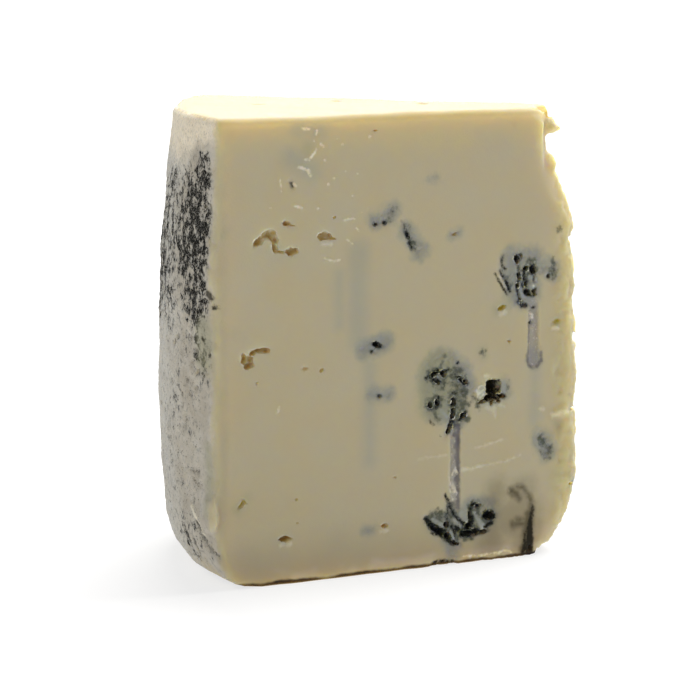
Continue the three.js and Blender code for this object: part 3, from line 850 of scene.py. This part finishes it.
def length(name, description, default):
    """A length that a user may change; its default is given in millimetres."""
    return bpy.props.FloatProperty(
        name=name, description=description, default=default * MM, min=0.0, unit="LENGTH", precision=5
    )


class CheeseShape(bpy.types.PropertyGroup):
    """How fine and how rough the modelled cheese is."""

    voxel: length("Voxel", "Size of the steps of the first remesh", 0.33)
    crag: length("Crags", "Depth of the rough ground under the mould", 0.75)
    rind: length("Rind bumps", "Height of the bumps on the rind", 0.6)
    curd: length("Curd", "Height of the swells on the cut faces", 0.16)
    triangles: bpy.props.IntProperty(
        name="Triangles", description="Most triangles of the finished piece", default=192000, min=1000
    )


class CheeseColours(bpy.types.PropertyGroup):
    """The colours of the paste, the rind and what grows on them."""

    paste: colour("paste", (0.515, 0.464, 0.326))
    paste_warm: colour("warmer paste", (0.525, 0.457, 0.296))
    # Painted light: faces turned upward get this tint, set for how brightly the top is lit.
    paste_top_light: colour("dry top of the paste", (0.50, 0.435, 0.33))
    # Painted glow: the yellow of the thin broken tip, where light shines through the paste.
    paste_tip_glow: colour("yellow paste of the tip", (0.50, 0.455, 0.25))
    paste_side: colour("grey paste beside the rind", (0.39, 0.37, 0.28))
    # Painted glow: the yellow band under the top edge, where light from the top shines through the paste.
    paste_lit: colour("paste under the top edge", (0.56, 0.50, 0.28))
    # Painted shade: a darker line along the top front edge, which tones down the light it catches.
    paste_shaded_edge: colour("worn top edge", (0.36, 0.31, 0.20))
    # Painted shade: the paste darkens towards the base, as in the shade near the floor.
    paste_foot_shade: colour("darker paste near the base", (0.38, 0.325, 0.21))
    paste_smear: colour("paste smeared over the base's edge", (0.56, 0.52, 0.44))
    # Partly the dark rind of the base, partly painted shadow where it meets the floor.
    base_edge_and_shadow: colour("dark rind of the base", (0.018, 0.012, 0.009))
    curd_pale: colour("torn curd", (0.80, 0.75, 0.60))
    # Inside the holes: a lining colour that is partly painted shade; at their bottoms, painted shade.
    eye: colour("inside of the holes", (0.46, 0.345, 0.13))
    eye_green: colour("green inside of the holes", (0.47, 0.42, 0.05))
    # Painted shade at the bottom of the holes.
    eye_bottom_shade: colour("bottom of the holes", (0.36, 0.25, 0.06))
    mould: colour("black mould", (0.008, 0.010, 0.009))
    shade: colour("dark stain round the mould", (0.12, 0.13, 0.12))
    murk: colour("murky rot", (0.098, 0.106, 0.078))
    # Partly the stain of the channels' walls, partly painted shadow in them.
    wall_stain_and_shade: colour("purple-grey wall of the channels", (0.15, 0.135, 0.14))
    halo: colour("blue-grey stain", (0.295, 0.305, 0.275))
    halo_green: colour("green-grey stain", (0.33, 0.325, 0.21))
    petal: colour("pale mould crust", (0.37, 0.375, 0.335))
    canal: colour("needle channels", (0.355, 0.338, 0.30))
    brown: colour("brown rot", (0.012, 0.009, 0.003))
    smoke: colour("smoky rot", (0.05, 0.04, 0.018))
    haze: colour("brown haze of the corner", (0.17, 0.14, 0.08))
    vein: colour("faint veins", (0.36, 0.37, 0.32))
    rind: colour("rind", (0.46, 0.42, 0.345))
    rind_pale: colour("pale rind", (0.54, 0.505, 0.43))
    rind_far: colour("rind away from the cut", (0.56, 0.54, 0.48))
    rind_top: colour("rind near the top", (0.86, 0.765, 0.59))
    rind_grey: colour("grey rind", (0.26, 0.255, 0.235))
    rind_mould: colour("mould on the rind", (0.006, 0.006, 0.005))


class CheeseStudio(bpy.types.PropertyGroup):
    """Camera, lights and floor."""

    azimuth: bpy.props.FloatProperty(
        name="Azimuth", description="Way the camera looks", default=math.radians(27.8185), subtype="ANGLE"
    )
    dip: bpy.props.FloatProperty(
        name="Dip", description="How far the camera looks down", default=math.radians(8.4165), subtype="ANGLE"
    )
    lens: bpy.props.FloatProperty(
        name="Lens", description="Focal length of the camera", default=151.39, unit="CAMERA"
    )
    camera: bpy.props.FloatVectorProperty(
        name="Camera",
        description="Place of the camera",
        subtype="TRANSLATION",
        default=(-0.30447, -0.58511, 0.14178),
    )
    key: bpy.props.FloatProperty(name="Key light", description="Strength of the key light", default=5.7)
    fill: bpy.props.FloatProperty(name="Fill", description="Strength of the light all round", default=0.36)
    glow: bpy.props.FloatProperty(name="Glow", description="Light from the lit floor itself", default=0.73)
    floor: colour("floor", (0.28, 0.28, 0.28))


# ---- Shader maths ----------------------------------------------------------------------------


class Value:
    """A node's output in an expression; arithmetic on it adds Math nodes."""

    def __init__(self, nodes, socket):
        self.nodes = nodes
        self.socket = socket

    def math(self, operation, *values):
        return self.nodes.add("ShaderNodeMath", {"operation": operation}, values)

    def __add__(self, other):
        return self.math("ADD", self, other)

    def __sub__(self, other):
        return self.math("SUBTRACT", self, other)

    def __rsub__(self, other):
        return self.math("SUBTRACT", other, self)

    def __mul__(self, other):
        return self.math("MULTIPLY", self, other)

    __radd__ = __add__
    __rmul__ = __mul__

    def most(self, other):
        return self.math("MAXIMUM", self, other)

    def least(self, other):
        return self.math("MINIMUM", self, other)

    def step(self, low, high):
        """0 below low and 1 above high, smooth between them."""
        settings = {"interpolation_type": "SMOOTHSTEP"}
        return self.nodes.add("ShaderNodeMapRange", settings, (self, low, high, 0.0, 1.0))


class Nodes:
    """Adds nodes to a material."""

    def __init__(self, material):
        self.tree = material.node_tree
        self.places = self.add("ShaderNodeTexCoord", output=3)

    def add(self, kind, settings=None, sockets=(), output=0):
        """Adds a node: its settings first, then the values or links of its sockets."""
        node = self.tree.nodes.new(kind)
        for name, value in (settings or {}).items():
            setattr(node, name, value)
        pairs = sockets.items() if isinstance(sockets, dict) else enumerate(sockets)
        for key, value in pairs:
            if isinstance(value, Value):
                self.tree.links.new(value.socket, node.inputs[key])
            else:
                node.inputs[key].default_value = value
        return Value(self, node.outputs[output])

    def layer(self, name):
        return self.add("ShaderNodeAttribute", {"attribute_name": name}, output=2)

    def noise(self, size, detail=2.0, rough=0.5, warp=0.0):
        """Cloudy noise about 0.5 whose features are about size millimetres wide."""
        sockets = {
            "Vector": self.places,
            "Scale": 1.0 / (size * MM),
            "Detail": detail,
            "Roughness": rough,
            "Distortion": warp,
        }
        return self.add("ShaderNodeTexNoise", {"noise_dimensions": "3D"}, sockets)

    def mark(self, source, noise, wander, edge):
        """How strongly a layer or a value shows: 0 to 1 over an edge that wanders with the noise."""
        value = self.layer(source) if isinstance(source, str) else source
        return (value + (noise - 0.5) * wander).step(*edge)

    def mix(self, share, first, second):
        """The first colour where share is 0, the second where it is 1."""
        full = [c if isinstance(c, Value) else (*c, 1.0) for c in (first, second)]
        return self.add("ShaderNodeMix", {"data_type": "RGBA"}, {0: share, 6: full[0], 7: full[1]}, output=2)

    def bump(self, height, distance, strength=1.0, normal=None):
        """A bump whose height of 1 stands distance millimetres high."""
        sockets = {"Strength": strength, "Distance": distance * MM, "Height": height}
        if normal is not None:
            sockets["Normal"] = normal
        return self.add("ShaderNodeBump", {}, sockets)


def new_material(name):
    """An empty material that is made of nodes."""
    material = bpy.data.materials.new(name)
    material.use_nodes = True
    material.node_tree.nodes.clear()
    return material


def show(nodes, surface):
    """Gives the material this surface."""
    output = nodes.tree.nodes.new("ShaderNodeOutputMaterial")
    nodes.tree.links.new(surface.socket, output.inputs["Surface"])


def paste_shader(nodes, tint, masks):
    """The cut paste: translucent curd with stains, holes and crusts of mould."""
    mottle = nodes.noise(11.0, 3.0, 0.5)
    cloud = nodes.noise(3.2, 3.0, 0.55)
    grain = nodes.noise(1.1, 3.0, 0.55)
    fine = nodes.noise(0.38, 2.0, 0.6)
    height = masks["height"]
    upward = nodes.layer("upward")
    depth = nodes.layer("depth")

    base = nodes.mix(mottle.step(0.3, 0.7), tint.paste, tint.paste_warm)
    # Painted light: faces turned upward take their own tint, set for how brightly the top is lit.
    base = nodes.mix(upward.step(0.5, 0.9) * 0.75, base, tint.paste_top_light)
    # Painted glow: the paste turns yellow towards the thin broken tip, where light shines through it.
    tip = nodes.mark("tip", mottle, wander=5.0, edge=(20.5, 14.0))
    base = nodes.mix(tip * 0.8, base, tint.paste_tip_glow)
    rim = nodes.mark("tip", cloud, wander=2.0, edge=(13.6, 12.0))
    base = nodes.mix(rim * 0.6, base, tint.paste_side)
    side = nodes.mark("side", cloud, wander=2.0, edge=(3.2, 0.4))
    base = nodes.mix(side * 0.5, base, tint.paste_side)
    # Painted glow: a yellow band under the top edge, where light from the top shines through the paste.
    top_edge_glow = nodes.mark(height, mottle, wander=10.0, edge=(90.0, 96.0)) * upward.step(0.5, 0.2)
    base = nodes.mix(top_edge_glow * 0.6, base, tint.paste_lit)
    # Painted shade: the top front edge is darkened to tone down the bright line of light along it.
    shaded = height.step(98.0, 99.2) * depth.step(1.5, 0.5) * upward.step(0.99, 0.8)
    base = nodes.mix(shaded * 0.5, base, tint.paste_shaded_edge)
    # Painted shade: the paste is darkened towards the base.
    foot = nodes.mark(height, mottle, wander=8.0, edge=(14.0, 1.0))
    base = nodes.mix(foot * 0.55, base, tint.paste_foot_shade)
    smear = nodes.mark(height, mottle, wander=6.0, edge=(4.0, 2.0)) * nodes.noise(9.0).step(0.4, 0.56)
    base = nodes.mix(smear * 0.45, base, tint.paste_smear)

    vein = nodes.mark("vein", mottle, wander=3.0, edge=(-2.2, 2.2))
    base = nodes.mix(vein * 0.5, base, tint.vein)
    green = nodes.mark("green", cloud, wander=3.0, edge=(-1.6, 1.8))
    base = nodes.mix(green * 0.4, base, tint.halo_green)
    halo = nodes.mark("halo", cloud, wander=3.6, edge=(-1.5, 1.3))
    stain = nodes.mix(green * 0.7, tint.halo, tint.halo_green)
    base = nodes.mix(halo * (0.6 + 0.4 * grain), base, stain)
    smoke = nodes.mark("smoke", cloud, wander=2.0, edge=(-1.0, 0.8))
    base = nodes.mix(smoke * 0.85, base, tint.smoke)
    haze = nodes.mark("haze", cloud, wander=4.0, edge=(-2.4, 3.4))
    base = nodes.mix(haze * 0.42, base, tint.haze)

    canal = nodes.mark("canal", grain, wander=0.9, edge=(-0.3, 0.35))
    base = nodes.mix(canal * (0.5 + 0.5 * cloud), base, tint.canal)
    fluff = nodes.noise(0.55, 2.0, 0.6, 1.0).step(0.58, 0.7)
    base = nodes.mix(canal * fluff * 0.5, base, tint.curd_pale)

    # Inside the holes the colour follows depth: a lining colour that is partly painted shade, then painted
    # shade darker towards the bottom.
    eye = nodes.mark("eye", grain, wander=0.4, edge=(-0.12, 0.25))
    hollow = nodes.mix(green, tint.eye, tint.eye_green)
    base = nodes.mix(eye * nodes.mark(depth, grain, wander=1.0, edge=(0.1, 0.9)) * 0.9, base, hollow)
    deep = nodes.mix(green, tint.eye_bottom_shade, tint.eye_green)
    base = nodes.mix(eye * nodes.mark(depth, cloud, wander=1.0, edge=(0.9, 2.0)) * 0.8, base, deep)

    murk = nodes.mark("murk", grain, wander=2.2, edge=(-0.75, 0.55))
    base = nodes.mix(murk * (0.28 + 0.3 * fine + 0.5 * grain.step(0.34, 0.6)), base, tint.murk)
    # Channel walls: partly stain, partly painted shadow.
    wall_stain_and_shade = nodes.mark("wall_stain_and_shade", grain, wander=0.7, edge=(-0.35, 0.25))
    base = nodes.mix(wall_stain_and_shade * (0.3 + 0.8 * cloud), base, tint.wall_stain_and_shade)
    shade = nodes.mark(masks["near"], grain, wander=1.1, edge=(-0.65, 0.15))
    base = nodes.mix(shade * 0.66, base, tint.shade)
    crust = nodes.mark("petal", grain, wander=0.9, edge=(-0.3, 0.25))
    base = nodes.mix(crust * (0.5 + 0.7 * fine), base, tint.petal)
    ridge = nodes.mark("ridge", grain, wander=1.6, edge=(-0.5, 0.5))
    scrape = nodes.mark("scrape", grain, wander=0.9, edge=(-0.25, 0.2))
    base = nodes.mix((ridge * 0.36).most(scrape * 0.75), base, tint.curd_pale)

    base = nodes.mix(masks["brown"] * 0.95, base, tint.brown)
    base = nodes.mix(masks["mould"] * (0.6 + 0.8 * fine).least(1.0), base, tint.mould)
    # Partly dark rind, partly painted shadow along the base.
    base = nodes.mix(masks["edge"] * 0.97, base, tint.base_edge_and_shadow)

    rot = masks["mould"].most(halo * 0.5)
    normal = nodes.bump(grain * 0.5 + fine * 0.35, 0.14, 0.5)
    normal = nodes.bump(rot * nodes.noise(0.7, 3.0, 0.65), 0.5, 0.8, normal)
    sockets = {
        "Base Color": base,
        "Roughness": 0.42 + 0.14 * grain + 0.3 * masks["mould"].most(upward.step(0.0, 0.4)),
        "Specular IOR Level": 0.1,
        "Normal": normal,
        "Subsurface Weight": 1.0,
        "Subsurface Radius": (1.0, 0.72, 0.24),
        "Subsurface Scale": 11.0 * MM,
    }
    return nodes.add("ShaderNodeBsdfPrincipled", {"subsurface_method": "RANDOM_WALK"}, sockets)


def rind_shader(nodes, tint, masks):
    """The powdery rind: cream near the top, grey below, with clumps of black mould."""
    broad = nodes.noise(7.0, 3.0, 0.55)
    clump = nodes.noise(2.0, 3.0, 0.6, 0.3)
    fine = nodes.noise(0.62, 3.0, 0.65)
    dust = nodes.noise(0.34, 2.0, 0.6)
    powder = fine * 0.5 + dust * 0.5
    arc = nodes.layer("arc")

    base = nodes.mix(broad.step(0.35, 0.65), tint.rind, tint.rind_pale)
    base = nodes.mix(nodes.mark(arc, broad, wander=12.0, edge=(12.0, 30.0)), base, tint.rind_far)
    base = nodes.mix((clump * 0.5 + fine * 0.5).step(0.5, 0.38) * 0.4, base, tint.rind_grey)
    speck = powder.step(0.435, 0.35) * nodes.mark(arc, broad, wander=8.0, edge=(4.0, 8.0))
    base = nodes.mix(speck * 0.75, base, tint.rind_mould)
    slope = masks["height"] + arc.least(20.0) * 0.25
    cream = nodes.mark(slope, broad, wander=8.0, edge=(93.0, 99.0))
    base = nodes.mix(cream * (0.28 + 1.1 * fine).least(1.0), base, tint.rind_top)
    base = nodes.mix(cream * powder.step(0.46, 0.36) * 0.3, base, tint.rind_grey)

    strength = nodes.layer("bloom") * (1.0 - cream) * (broad * 0.8 + 0.62)
    level = clump * 0.55 + fine * 0.35 + dust * 0.1
    growth = strength * 0.27 + 0.27 - level
    black = growth.step(-0.025, 0.06) * (dust.step(0.64, 0.52) * 0.5 + 0.5)
    away = nodes.mark(arc, clump, wander=4.0, edge=(0.8, 2.6))
    base = nodes.mix(growth.step(-0.1, 0.02) * away * 0.6, base, tint.rind_grey)
    base = nodes.mix(black * away * 0.99, base, tint.rind_mould)

    green = nodes.mark("green", clump, wander=3.0, edge=(-1.6, 1.8))
    base = nodes.mix(green * 0.5, base, tint.halo_green)
    pale = nodes.mark("ridge", fine, wander=0.7, edge=(-0.3, 0.2))
    base = nodes.mix(pale * 0.8, base, tint.curd_pale)
    base = nodes.mix(masks["brown"] * 0.8, base, tint.brown)
    fleck = nodes.mark(masks["near"] + (dust - 0.5) * 2.0, fine, wander=3.0, edge=(-0.5, 0.7))
    base = nodes.mix(fleck * 0.75, base, tint.rind_mould)
    # Partly dark rind, partly painted shadow along the base.
    base = nodes.mix(masks["edge"] * 0.95, base, tint.base_edge_and_shadow)

    sockets = {
        "Base Color": base,
        "Roughness": 0.86,
        "Specular IOR Level": 0.05,
        "Normal": nodes.bump(clump * 0.6 + fine * 0.4 - black * 0.5, 0.3, 0.7),
        "Subsurface Weight": 0.3,
        "Subsurface Radius": (1.0, 0.8, 0.5),
        "Subsurface Scale": 1.5 * MM,
    }
    return nodes.add("ShaderNodeBsdfPrincipled", {"subsurface_method": "RANDOM_WALK"}, sockets)


def cheese_material(tint):
    """Paste and rind in one material, mixed by the depth under the rind."""
    material = new_material("blue_cheese")
    nodes = Nodes(material)
    fleck = nodes.noise(0.7, 3.0, 0.65, 0.3)
    near = nodes.layer("mould")
    height = nodes.add("ShaderNodeSeparateXYZ", {}, (nodes.places,), output=2) * (1.0 / MM)
    masks = {
        "near": near,
        "height": height,
        # The lowest millimetre or so: partly dark rind, partly painted shadow where the base meets the floor.
        "edge": nodes.mark(height, nodes.noise(6.0, 3.0, 0.5), wander=1.5, edge=(1.15, 0.45)),
        "mould": nodes.mark(near, fleck, wander=1.2, edge=(-0.34, 0.2)),
        "brown": nodes.mark("brown", fleck, wander=1.0, edge=(-0.34, 0.3)),
    }
    paste = paste_shader(nodes, tint, masks)
    rind = rind_shader(nodes, tint, masks)
    ragged = nodes.noise(2.6, 3.0, 0.6)
    thin = nodes.mark("rind", ragged, wander=1.6, edge=(1.1, 0.4))
    smeared = nodes.mark("arc", ragged, wander=5.0, edge=(0.3, 2.8))
    share = thin * (smeared * 0.7 + 0.3)
    show(nodes, nodes.add("ShaderNodeMixShader", {}, (share, paste, rind)))
    return material


# ---- Operators -------------------------------------------------------------------------------

# Corners of the solid that are nearer than this are one corner.
WELD_GAP = 0.001 * MM
# Where the remeshed solid is smoothed, each as the places where that starts and is full, and
# in how many passes. Depths and distances from the drum's axis are counted as negative.
RIND_SOFT = (-1.2, -0.5)
TIP_SOFT = (-24.0, -18.0)
UNDER_TOP = (-97.0, -93.0)
TIP_TOP = (97.4, 98.6)
TIP_NEAR = (-27.0, -22.0)
PIT_SOFT = (-2.4, -1.2)
BROW_TOP = (96.6, 98.2)
BROW_NEAR = (-3.4, -1.8)
SMOOTH_PASSES = {"soft": 24, "pits": 80, "brow": 90}
EDGE_PASSES = 3
# The uneven balls that cut the holes: how rough, and which of them have more faces.
HOLE_ROUGHNESS = 0.75
MOST_ROUGHNESS = 1.3
FINE_HOLE = 1.5
# How readily plain and detailed ground is thinned, and the bluntest angle that stays sharp.
PLAIN_THINNING = 0.85
DETAIL_SPARED = 0.8
SHARP_ANGLE = math.radians(58.0)
# The studio's floor, key light and camera.
FLOOR_SIZE = 60.0
FLOOR_DROP = 0.05 * MM
FLOOR_MOTTLE = 400.0
FLOOR_MOTTLE_SHARE = 0.02
FLOOR_PALE = (0.8, 0.8, 0.8)
KEY_SIDE = Vector((0.55, 0.34, 1.0))
KEY_SPREAD = math.radians(50.0)
KEY_TINT = (1.0, 0.985, 0.96)
WHITE = (1.0, 1.0, 1.0, 1.0)
SENSOR_WIDTH = 36.0
FAR_CLIP = 100.0


class CHEESE_OT_body(bpy.types.Operator):
    """Copies the plain solid, fills its pits for finer ones, and remeshes it finely."""

    bl_idname = "cheese.body"
    bl_label = "Body"

    def join(self, body, add, middle, extent, **settings):
        """Joins a new primitive of this extent to the body."""
        bpy.ops.object.select_all(action="DESELECT")
        add(location=(FRONT.origin + middle) * MM, scale=extent * MM, **settings)
        added = bpy.context.active_object
        bpy.ops.object.transform_apply(location=True, rotation=True, scale=True)
        only(body, added)
        bpy.ops.object.join()

    def execute(self, context):
        shape = context.scene.cheese_shape
        source = frame["nodes"][NODE]
        body = source.copy()
        body.data = source.data.copy()
        body.name = PIECE
        body.data.name = PIECE
        for key in list(body.keys()):
            del body[key]
        context.scene.collection.objects.link(body)
        body.parent = None
        only(body)
        bpy.ops.object.mode_set(mode="EDIT")
        bpy.ops.mesh.select_all(action="SELECT")
        bpy.ops.mesh.remove_doubles(threshold=WELD_GAP)
        bpy.ops.object.mode_set(mode="OBJECT")
        body.data.materials.clear()
        middle, extent = (FILL_LOW + FILL_HIGH) / 2, FILL_HIGH - FILL_LOW
        self.join(body, bpy.ops.mesh.primitive_cube_add, middle, extent, size=1.0)
        for middle, extent in TIP_LUMPS:
            ball = {"subdivisions": 3, "radius": 0.5}
            self.join(body, bpy.ops.mesh.primitive_ico_sphere_add, middle, extent, **ball)
        apply_modifier(body, "REMESH", "fine", mode="VOXEL", voxel_size=shape.voxel)

        points = vertex_places(body)
        height = points[:, 2]
        front = FRONT.places(points)
        tip = -axis_distance(points)
        rim = np.maximum(ramp(-rind_places(points)[2], *RIND_SOFT), ramp(tip, *TIP_SOFT))
        soft = np.maximum(ramp(-height, *UNDER_TOP) * rim, ramp(height, *TIP_TOP) * ramp(tip, *TIP_NEAR))
        pits = np.full(len(points), FAR_OUTSIDE)
        paint_lobes(pits, front, (*EYES, *MOULD_PITS))
        inside = np.minimum(front[2], BACK.places(points)[2])
        weigh(body, "soft", soft)
        weigh(body, "pits", ramp(pits, *PIT_SOFT))
        weigh(body, "brow", ramp(height, *BROW_TOP) * ramp(-inside, *BROW_NEAR))
        for name, passes in SMOOTH_PASSES.items():
            apply_modifier(body, "SMOOTH", name, factor=0.5, iterations=passes, vertex_group=name)
        apply_modifier(body, "SMOOTH", "edges", factor=0.5, iterations=EDGE_PASSES)
        return {"FINISHED"}


class CHEESE_OT_holes(bpy.types.Operator):
    """Cuts the eyes, the large hole and the mould pits into the front face."""

    bl_idname = "cheese.holes"
    bl_label = "Holes"

    def cutter(self, lobe, pattern, turn):
        """An uneven ball, sunk to its middle in the front face, or along the tip's broken edge."""
        place = FRONT.origin + lobe.x * FRONT.along + lobe.z * FRONT.up
        bpy.ops.mesh.primitive_ico_sphere_add(
            subdivisions=4 if lobe.width > FINE_HOLE else 3,
            radius=MM,
            location=place * MM,
            rotation=turn.to_euler(),
            scale=(lobe.width / 2, lobe.height / 2, lobe.depth),
        )
        ball = bpy.context.active_object
        bpy.ops.object.transform_apply(location=True, rotation=True, scale=True)
        rough = min(HOLE_ROUGHNESS * min(lobe.width, lobe.height), MOST_ROUGHNESS) * MM
        settings = {"texture": pattern, "texture_coords": "LOCAL", "strength": rough, "mid_level": 0.5}
        apply_modifier(ball, "DISPLACE", "uneven", **settings)
        return ball

    def execute(self, context):
        pattern = texture("hole_walls", "CLOUDS", 1.1, noise_depth=3)
        cutters = bpy.data.collections.new("cutters")
        context.scene.collection.children.link(cutters)
        flat = FRONT.basis()
        slanted = Matrix.Rotation(NICK_TURN, 3, "Z") @ flat
        pits = [(lobe, flat @ Matrix.Rotation(math.radians(lobe.tilt), 3, "Z")) for lobe in PITS]
        for lobe, turn in (*pits, *((lobe, slanted) for lobe in TIP_NICKS)):
            ball = self.cutter(lobe, pattern, turn)
            ball.users_collection[0].objects.unlink(ball)
            cutters.objects.link(ball)
        apply_modifier(
            piece(),
            "BOOLEAN",
            "holes",
            operation="DIFFERENCE",
            operand_type="COLLECTION",
            collection=cutters,
            solver="MANIFOLD",
        )
        for ball in list(cutters.objects):
            bpy.data.meshes.remove(ball.data)
        bpy.data.collections.remove(cutters)
        return {"FINISHED"}


class CHEESE_OT_relief(bpy.types.Operator):
    """Roughens the mould, the rind, the broken tip and the torn curd, then thins the mesh."""

    bl_idname = "cheese.relief"
    bl_label = "Relief"

    def execute(self, context):
        shape = context.scene.cheese_shape
        body = piece()
        layers = surface_layers(vertex_places(body))
        mouldy = np.maximum(ramp(layers["mould"], -1.4, 0.3), 0.75 * ramp(layers["halo"], -0.8, 2.0))
        on_rind = ramp(-layers["heel"], -1.4, -0.4)
        grounds = {
            "mouldy": np.maximum(mouldy, 0.6 * ramp(layers["canal"], -0.3, 0.3)),
            "torn": ramp(layers["scrape"], -0.9, 0.3),
            "rind": on_rind * (0.4 + 0.6 * np.clip(layers["bloom"], 0.0, 1.0)),
            "base": ramp(-layers["rind"], -3.4, -1.0),
            "broken": ramp(-layers["tip"], -TIP_REACH - 3.0, -TIP_REACH + 2.0),
            "raised": np.maximum(ramp(layers["ridge"], -0.35, 0.25), 0.8 * ramp(layers["petal"], -0.4, 0.3)),
            "grooves": ramp(layers["canal"], -0.3, 0.4),
            "paste": 1.0 - on_rind,
        }
        for name, weights in grounds.items():
            weigh(body, name, weights)

        swells = texture("curd_swells", "CLOUDS", 5.0, noise_depth=2)
        crags = texture("crags", "CLOUDS", 1.1, noise_depth=4, noise_type="HARD_NOISE")
        clumps = texture("rind_clumps", "CLOUDS", 2.2, noise_depth=3)
        powder = texture("rind_powder", "CLOUDS", 0.8, noise_depth=3)
        shreds = texture("shreds", "CLOUDS", 1.0, noise_depth=4)
        chunks = texture("chunks", "CLOUDS", 2.4, noise_depth=2)
        roughen(body, "paste", swells, shape.curd / MM)
        roughen(body, "mouldy", crags, shape.crag / MM, 0.75)
        roughen(body, "rind", clumps, shape.rind / MM, 0.62)
        roughen(body, "rind", powder, 0.35 * shape.rind / MM)
        roughen(body, "base", shreds, 0.3, 0.6)
        roughen(body, "grooves", None, -0.15, 0.0)
        roughen(body, "broken", chunks, 1.1, 0.6)
        roughen(body, "torn", shreds, 1.0, 0.45)
        roughen(body, "raised", shreds, 0.4, 0.2)

        marked = np.maximum.reduce([layers[name] for name in LAYERS])
        detailed = [grounds[name] for name in ("mouldy", "torn", "raised", "broken")]
        fine = np.maximum.reduce([*detailed, on_rind, ramp(marked, -2.4, -0.4)])
        weigh(body, "plain", PLAIN_THINNING - DETAIL_SPARED * fine)
        now = sum(len(face.vertices) - 2 for face in body.data.polygons)
        apply_modifier(
            body,
            "DECIMATE",
            "thin",
            ratio=min(shape.triangles / now, 1.0),
            vertex_group="plain",
            vertex_group_factor=1.0,
            use_collapse_triangulate=True,
        )
        body.vertex_groups.clear()
        bpy.ops.object.shade_smooth_by_angle(angle=SHARP_ANGLE)
        return {"FINISHED"}


class CHEESE_OT_finish(bpy.types.Operator):
    """Paints the layers on the mesh and gives it its material."""

    bl_idname = "cheese.finish"
    bl_label = "Mould, rind and paste"

    def execute(self, context):
        body = piece()
        layers = surface_layers(vertex_places(body))
        normals = np.empty(len(body.data.vertices) * 3, np.float32)
        body.data.vertices.foreach_get("normal", normals)
        layers["upward"] = normals.reshape(-1, 3)[:, 2]
        for name, values in layers.items():
            attribute = body.data.attributes.new(name, "FLOAT", "POINT")
            attribute.data.foreach_set("value", values.astype(np.float32))
        body.data.materials.clear()
        body.data.materials.append(cheese_material(context.scene.cheese_colours))
        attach(body, "root")
        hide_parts(NODE)
        return {"FINISHED"}


class CHEESE_OT_studio(bpy.types.Operator):
    """Lays the floor, hangs the lights and sets up the camera."""

    bl_idname = "cheese.studio"
    bl_label = "Studio"

    def lay_floor(self, context, studio):
        """A wide pale floor that glows a little, as a brightly lit one does."""
        bpy.ops.object.select_all(action="DESELECT")
        bpy.ops.mesh.primitive_plane_add(size=FLOOR_SIZE, location=(0.0, 0.0, -FLOOR_DROP))
        floor = context.active_object
        floor.name = "floor"
        material = new_material("floor")
        nodes = Nodes(material)
        mottle = nodes.noise(FLOOR_MOTTLE) * FLOOR_MOTTLE_SHARE
        sockets = {
            "Base Color": nodes.mix(mottle, studio.floor, FLOOR_PALE),
            "Roughness": 0.9,
            "Specular IOR Level": 0.0,
            "Emission Color": WHITE,
            "Emission Strength": studio.glow,
        }
        show(nodes, nodes.add("ShaderNodeBsdfPrincipled", {}, sockets))
        floor.data.materials.append(material)

    def hang_lights(self, context, studio):
        """A wide soft key light over the wedge, and an even light all round."""
        turn = (-KEY_SIDE).to_track_quat("-Z", "Y").to_euler()
        bpy.ops.object.light_add(type="SUN", location=KEY_SIDE, rotation=turn)
        key = context.active_object
        key.name = "key_light"
        key.data.angle = KEY_SPREAD
        key.data.energy = studio.key
        key.data.color = KEY_TINT

        world = bpy.data.worlds.new("soft_room")
        world.use_nodes = True
        background = world.node_tree.nodes["Background"].inputs
        background["Color"].default_value = WHITE
        background["Strength"].default_value = studio.fill
        context.scene.world = world

    def set_camera(self, context, studio):
        """A camera that looks at the wedge as the photo does."""
        heading = (math.radians(90.0) - studio.dip, 0.0, -studio.azimuth)
        bpy.ops.object.camera_add(location=studio.camera, rotation=heading)
        camera = context.active_object
        camera.name = "camera"
        camera.data.lens = studio.lens
        camera.data.sensor_width = SENSOR_WIDTH
        camera.data.clip_end = FAR_CLIP
        context.scene.camera = camera
        context.scene.view_settings.view_transform = "Standard"

    def execute(self, context):
        studio = context.scene.cheese_studio
        self.lay_floor(context, studio)
        self.hang_lights(context, studio)
        self.set_camera(context, studio)
        return {"FINISHED"}


class CHEESE_PT_panel(bpy.types.Panel):
    """Lists the steps that make the cheese and its studio."""

    bl_label = "Blue cheese wedge"
    bl_idname = "CHEESE_PT_panel"
    bl_space_type = "VIEW_3D"
    bl_region_type = "UI"
    bl_category = "Cheese"

    def draw(self, context):
        scene = context.scene
        for settings in (scene.cheese_shape, scene.cheese_colours, scene.cheese_studio):
            box = self.layout.box()
            for name in settings.__annotations__:
                box.prop(settings, name)
        for step in STEPS:
            self.layout.operator(step.bl_idname)


STEPS = (CHEESE_OT_body, CHEESE_OT_holes, CHEESE_OT_relief, CHEESE_OT_finish, CHEESE_OT_studio)
SETTINGS = {"cheese_shape": CheeseShape, "cheese_colours": CheeseColours, "cheese_studio": CheeseStudio}


def register():
    for cls in (*SETTINGS.values(), *STEPS, CHEESE_PT_panel):
        bpy.utils.register_class(cls)
    for name, cls in SETTINGS.items():
        setattr(bpy.types.Scene, name, bpy.props.PointerProperty(type=cls))


def unregister():
    for name in SETTINGS:
        delattr(bpy.types.Scene, name)
    for cls in (CHEESE_PT_panel, *reversed(STEPS), *SETTINGS.values()):
        bpy.utils.unregister_class(cls)


def main():
    """Makes the cheese and its studio."""
    register()
    bpy.ops.cheese.body()
    bpy.ops.cheese.holes()
    bpy.ops.cheese.relief()
    bpy.ops.cheese.finish()
    bpy.ops.cheese.studio()


if __name__ == "__main__":
    main()
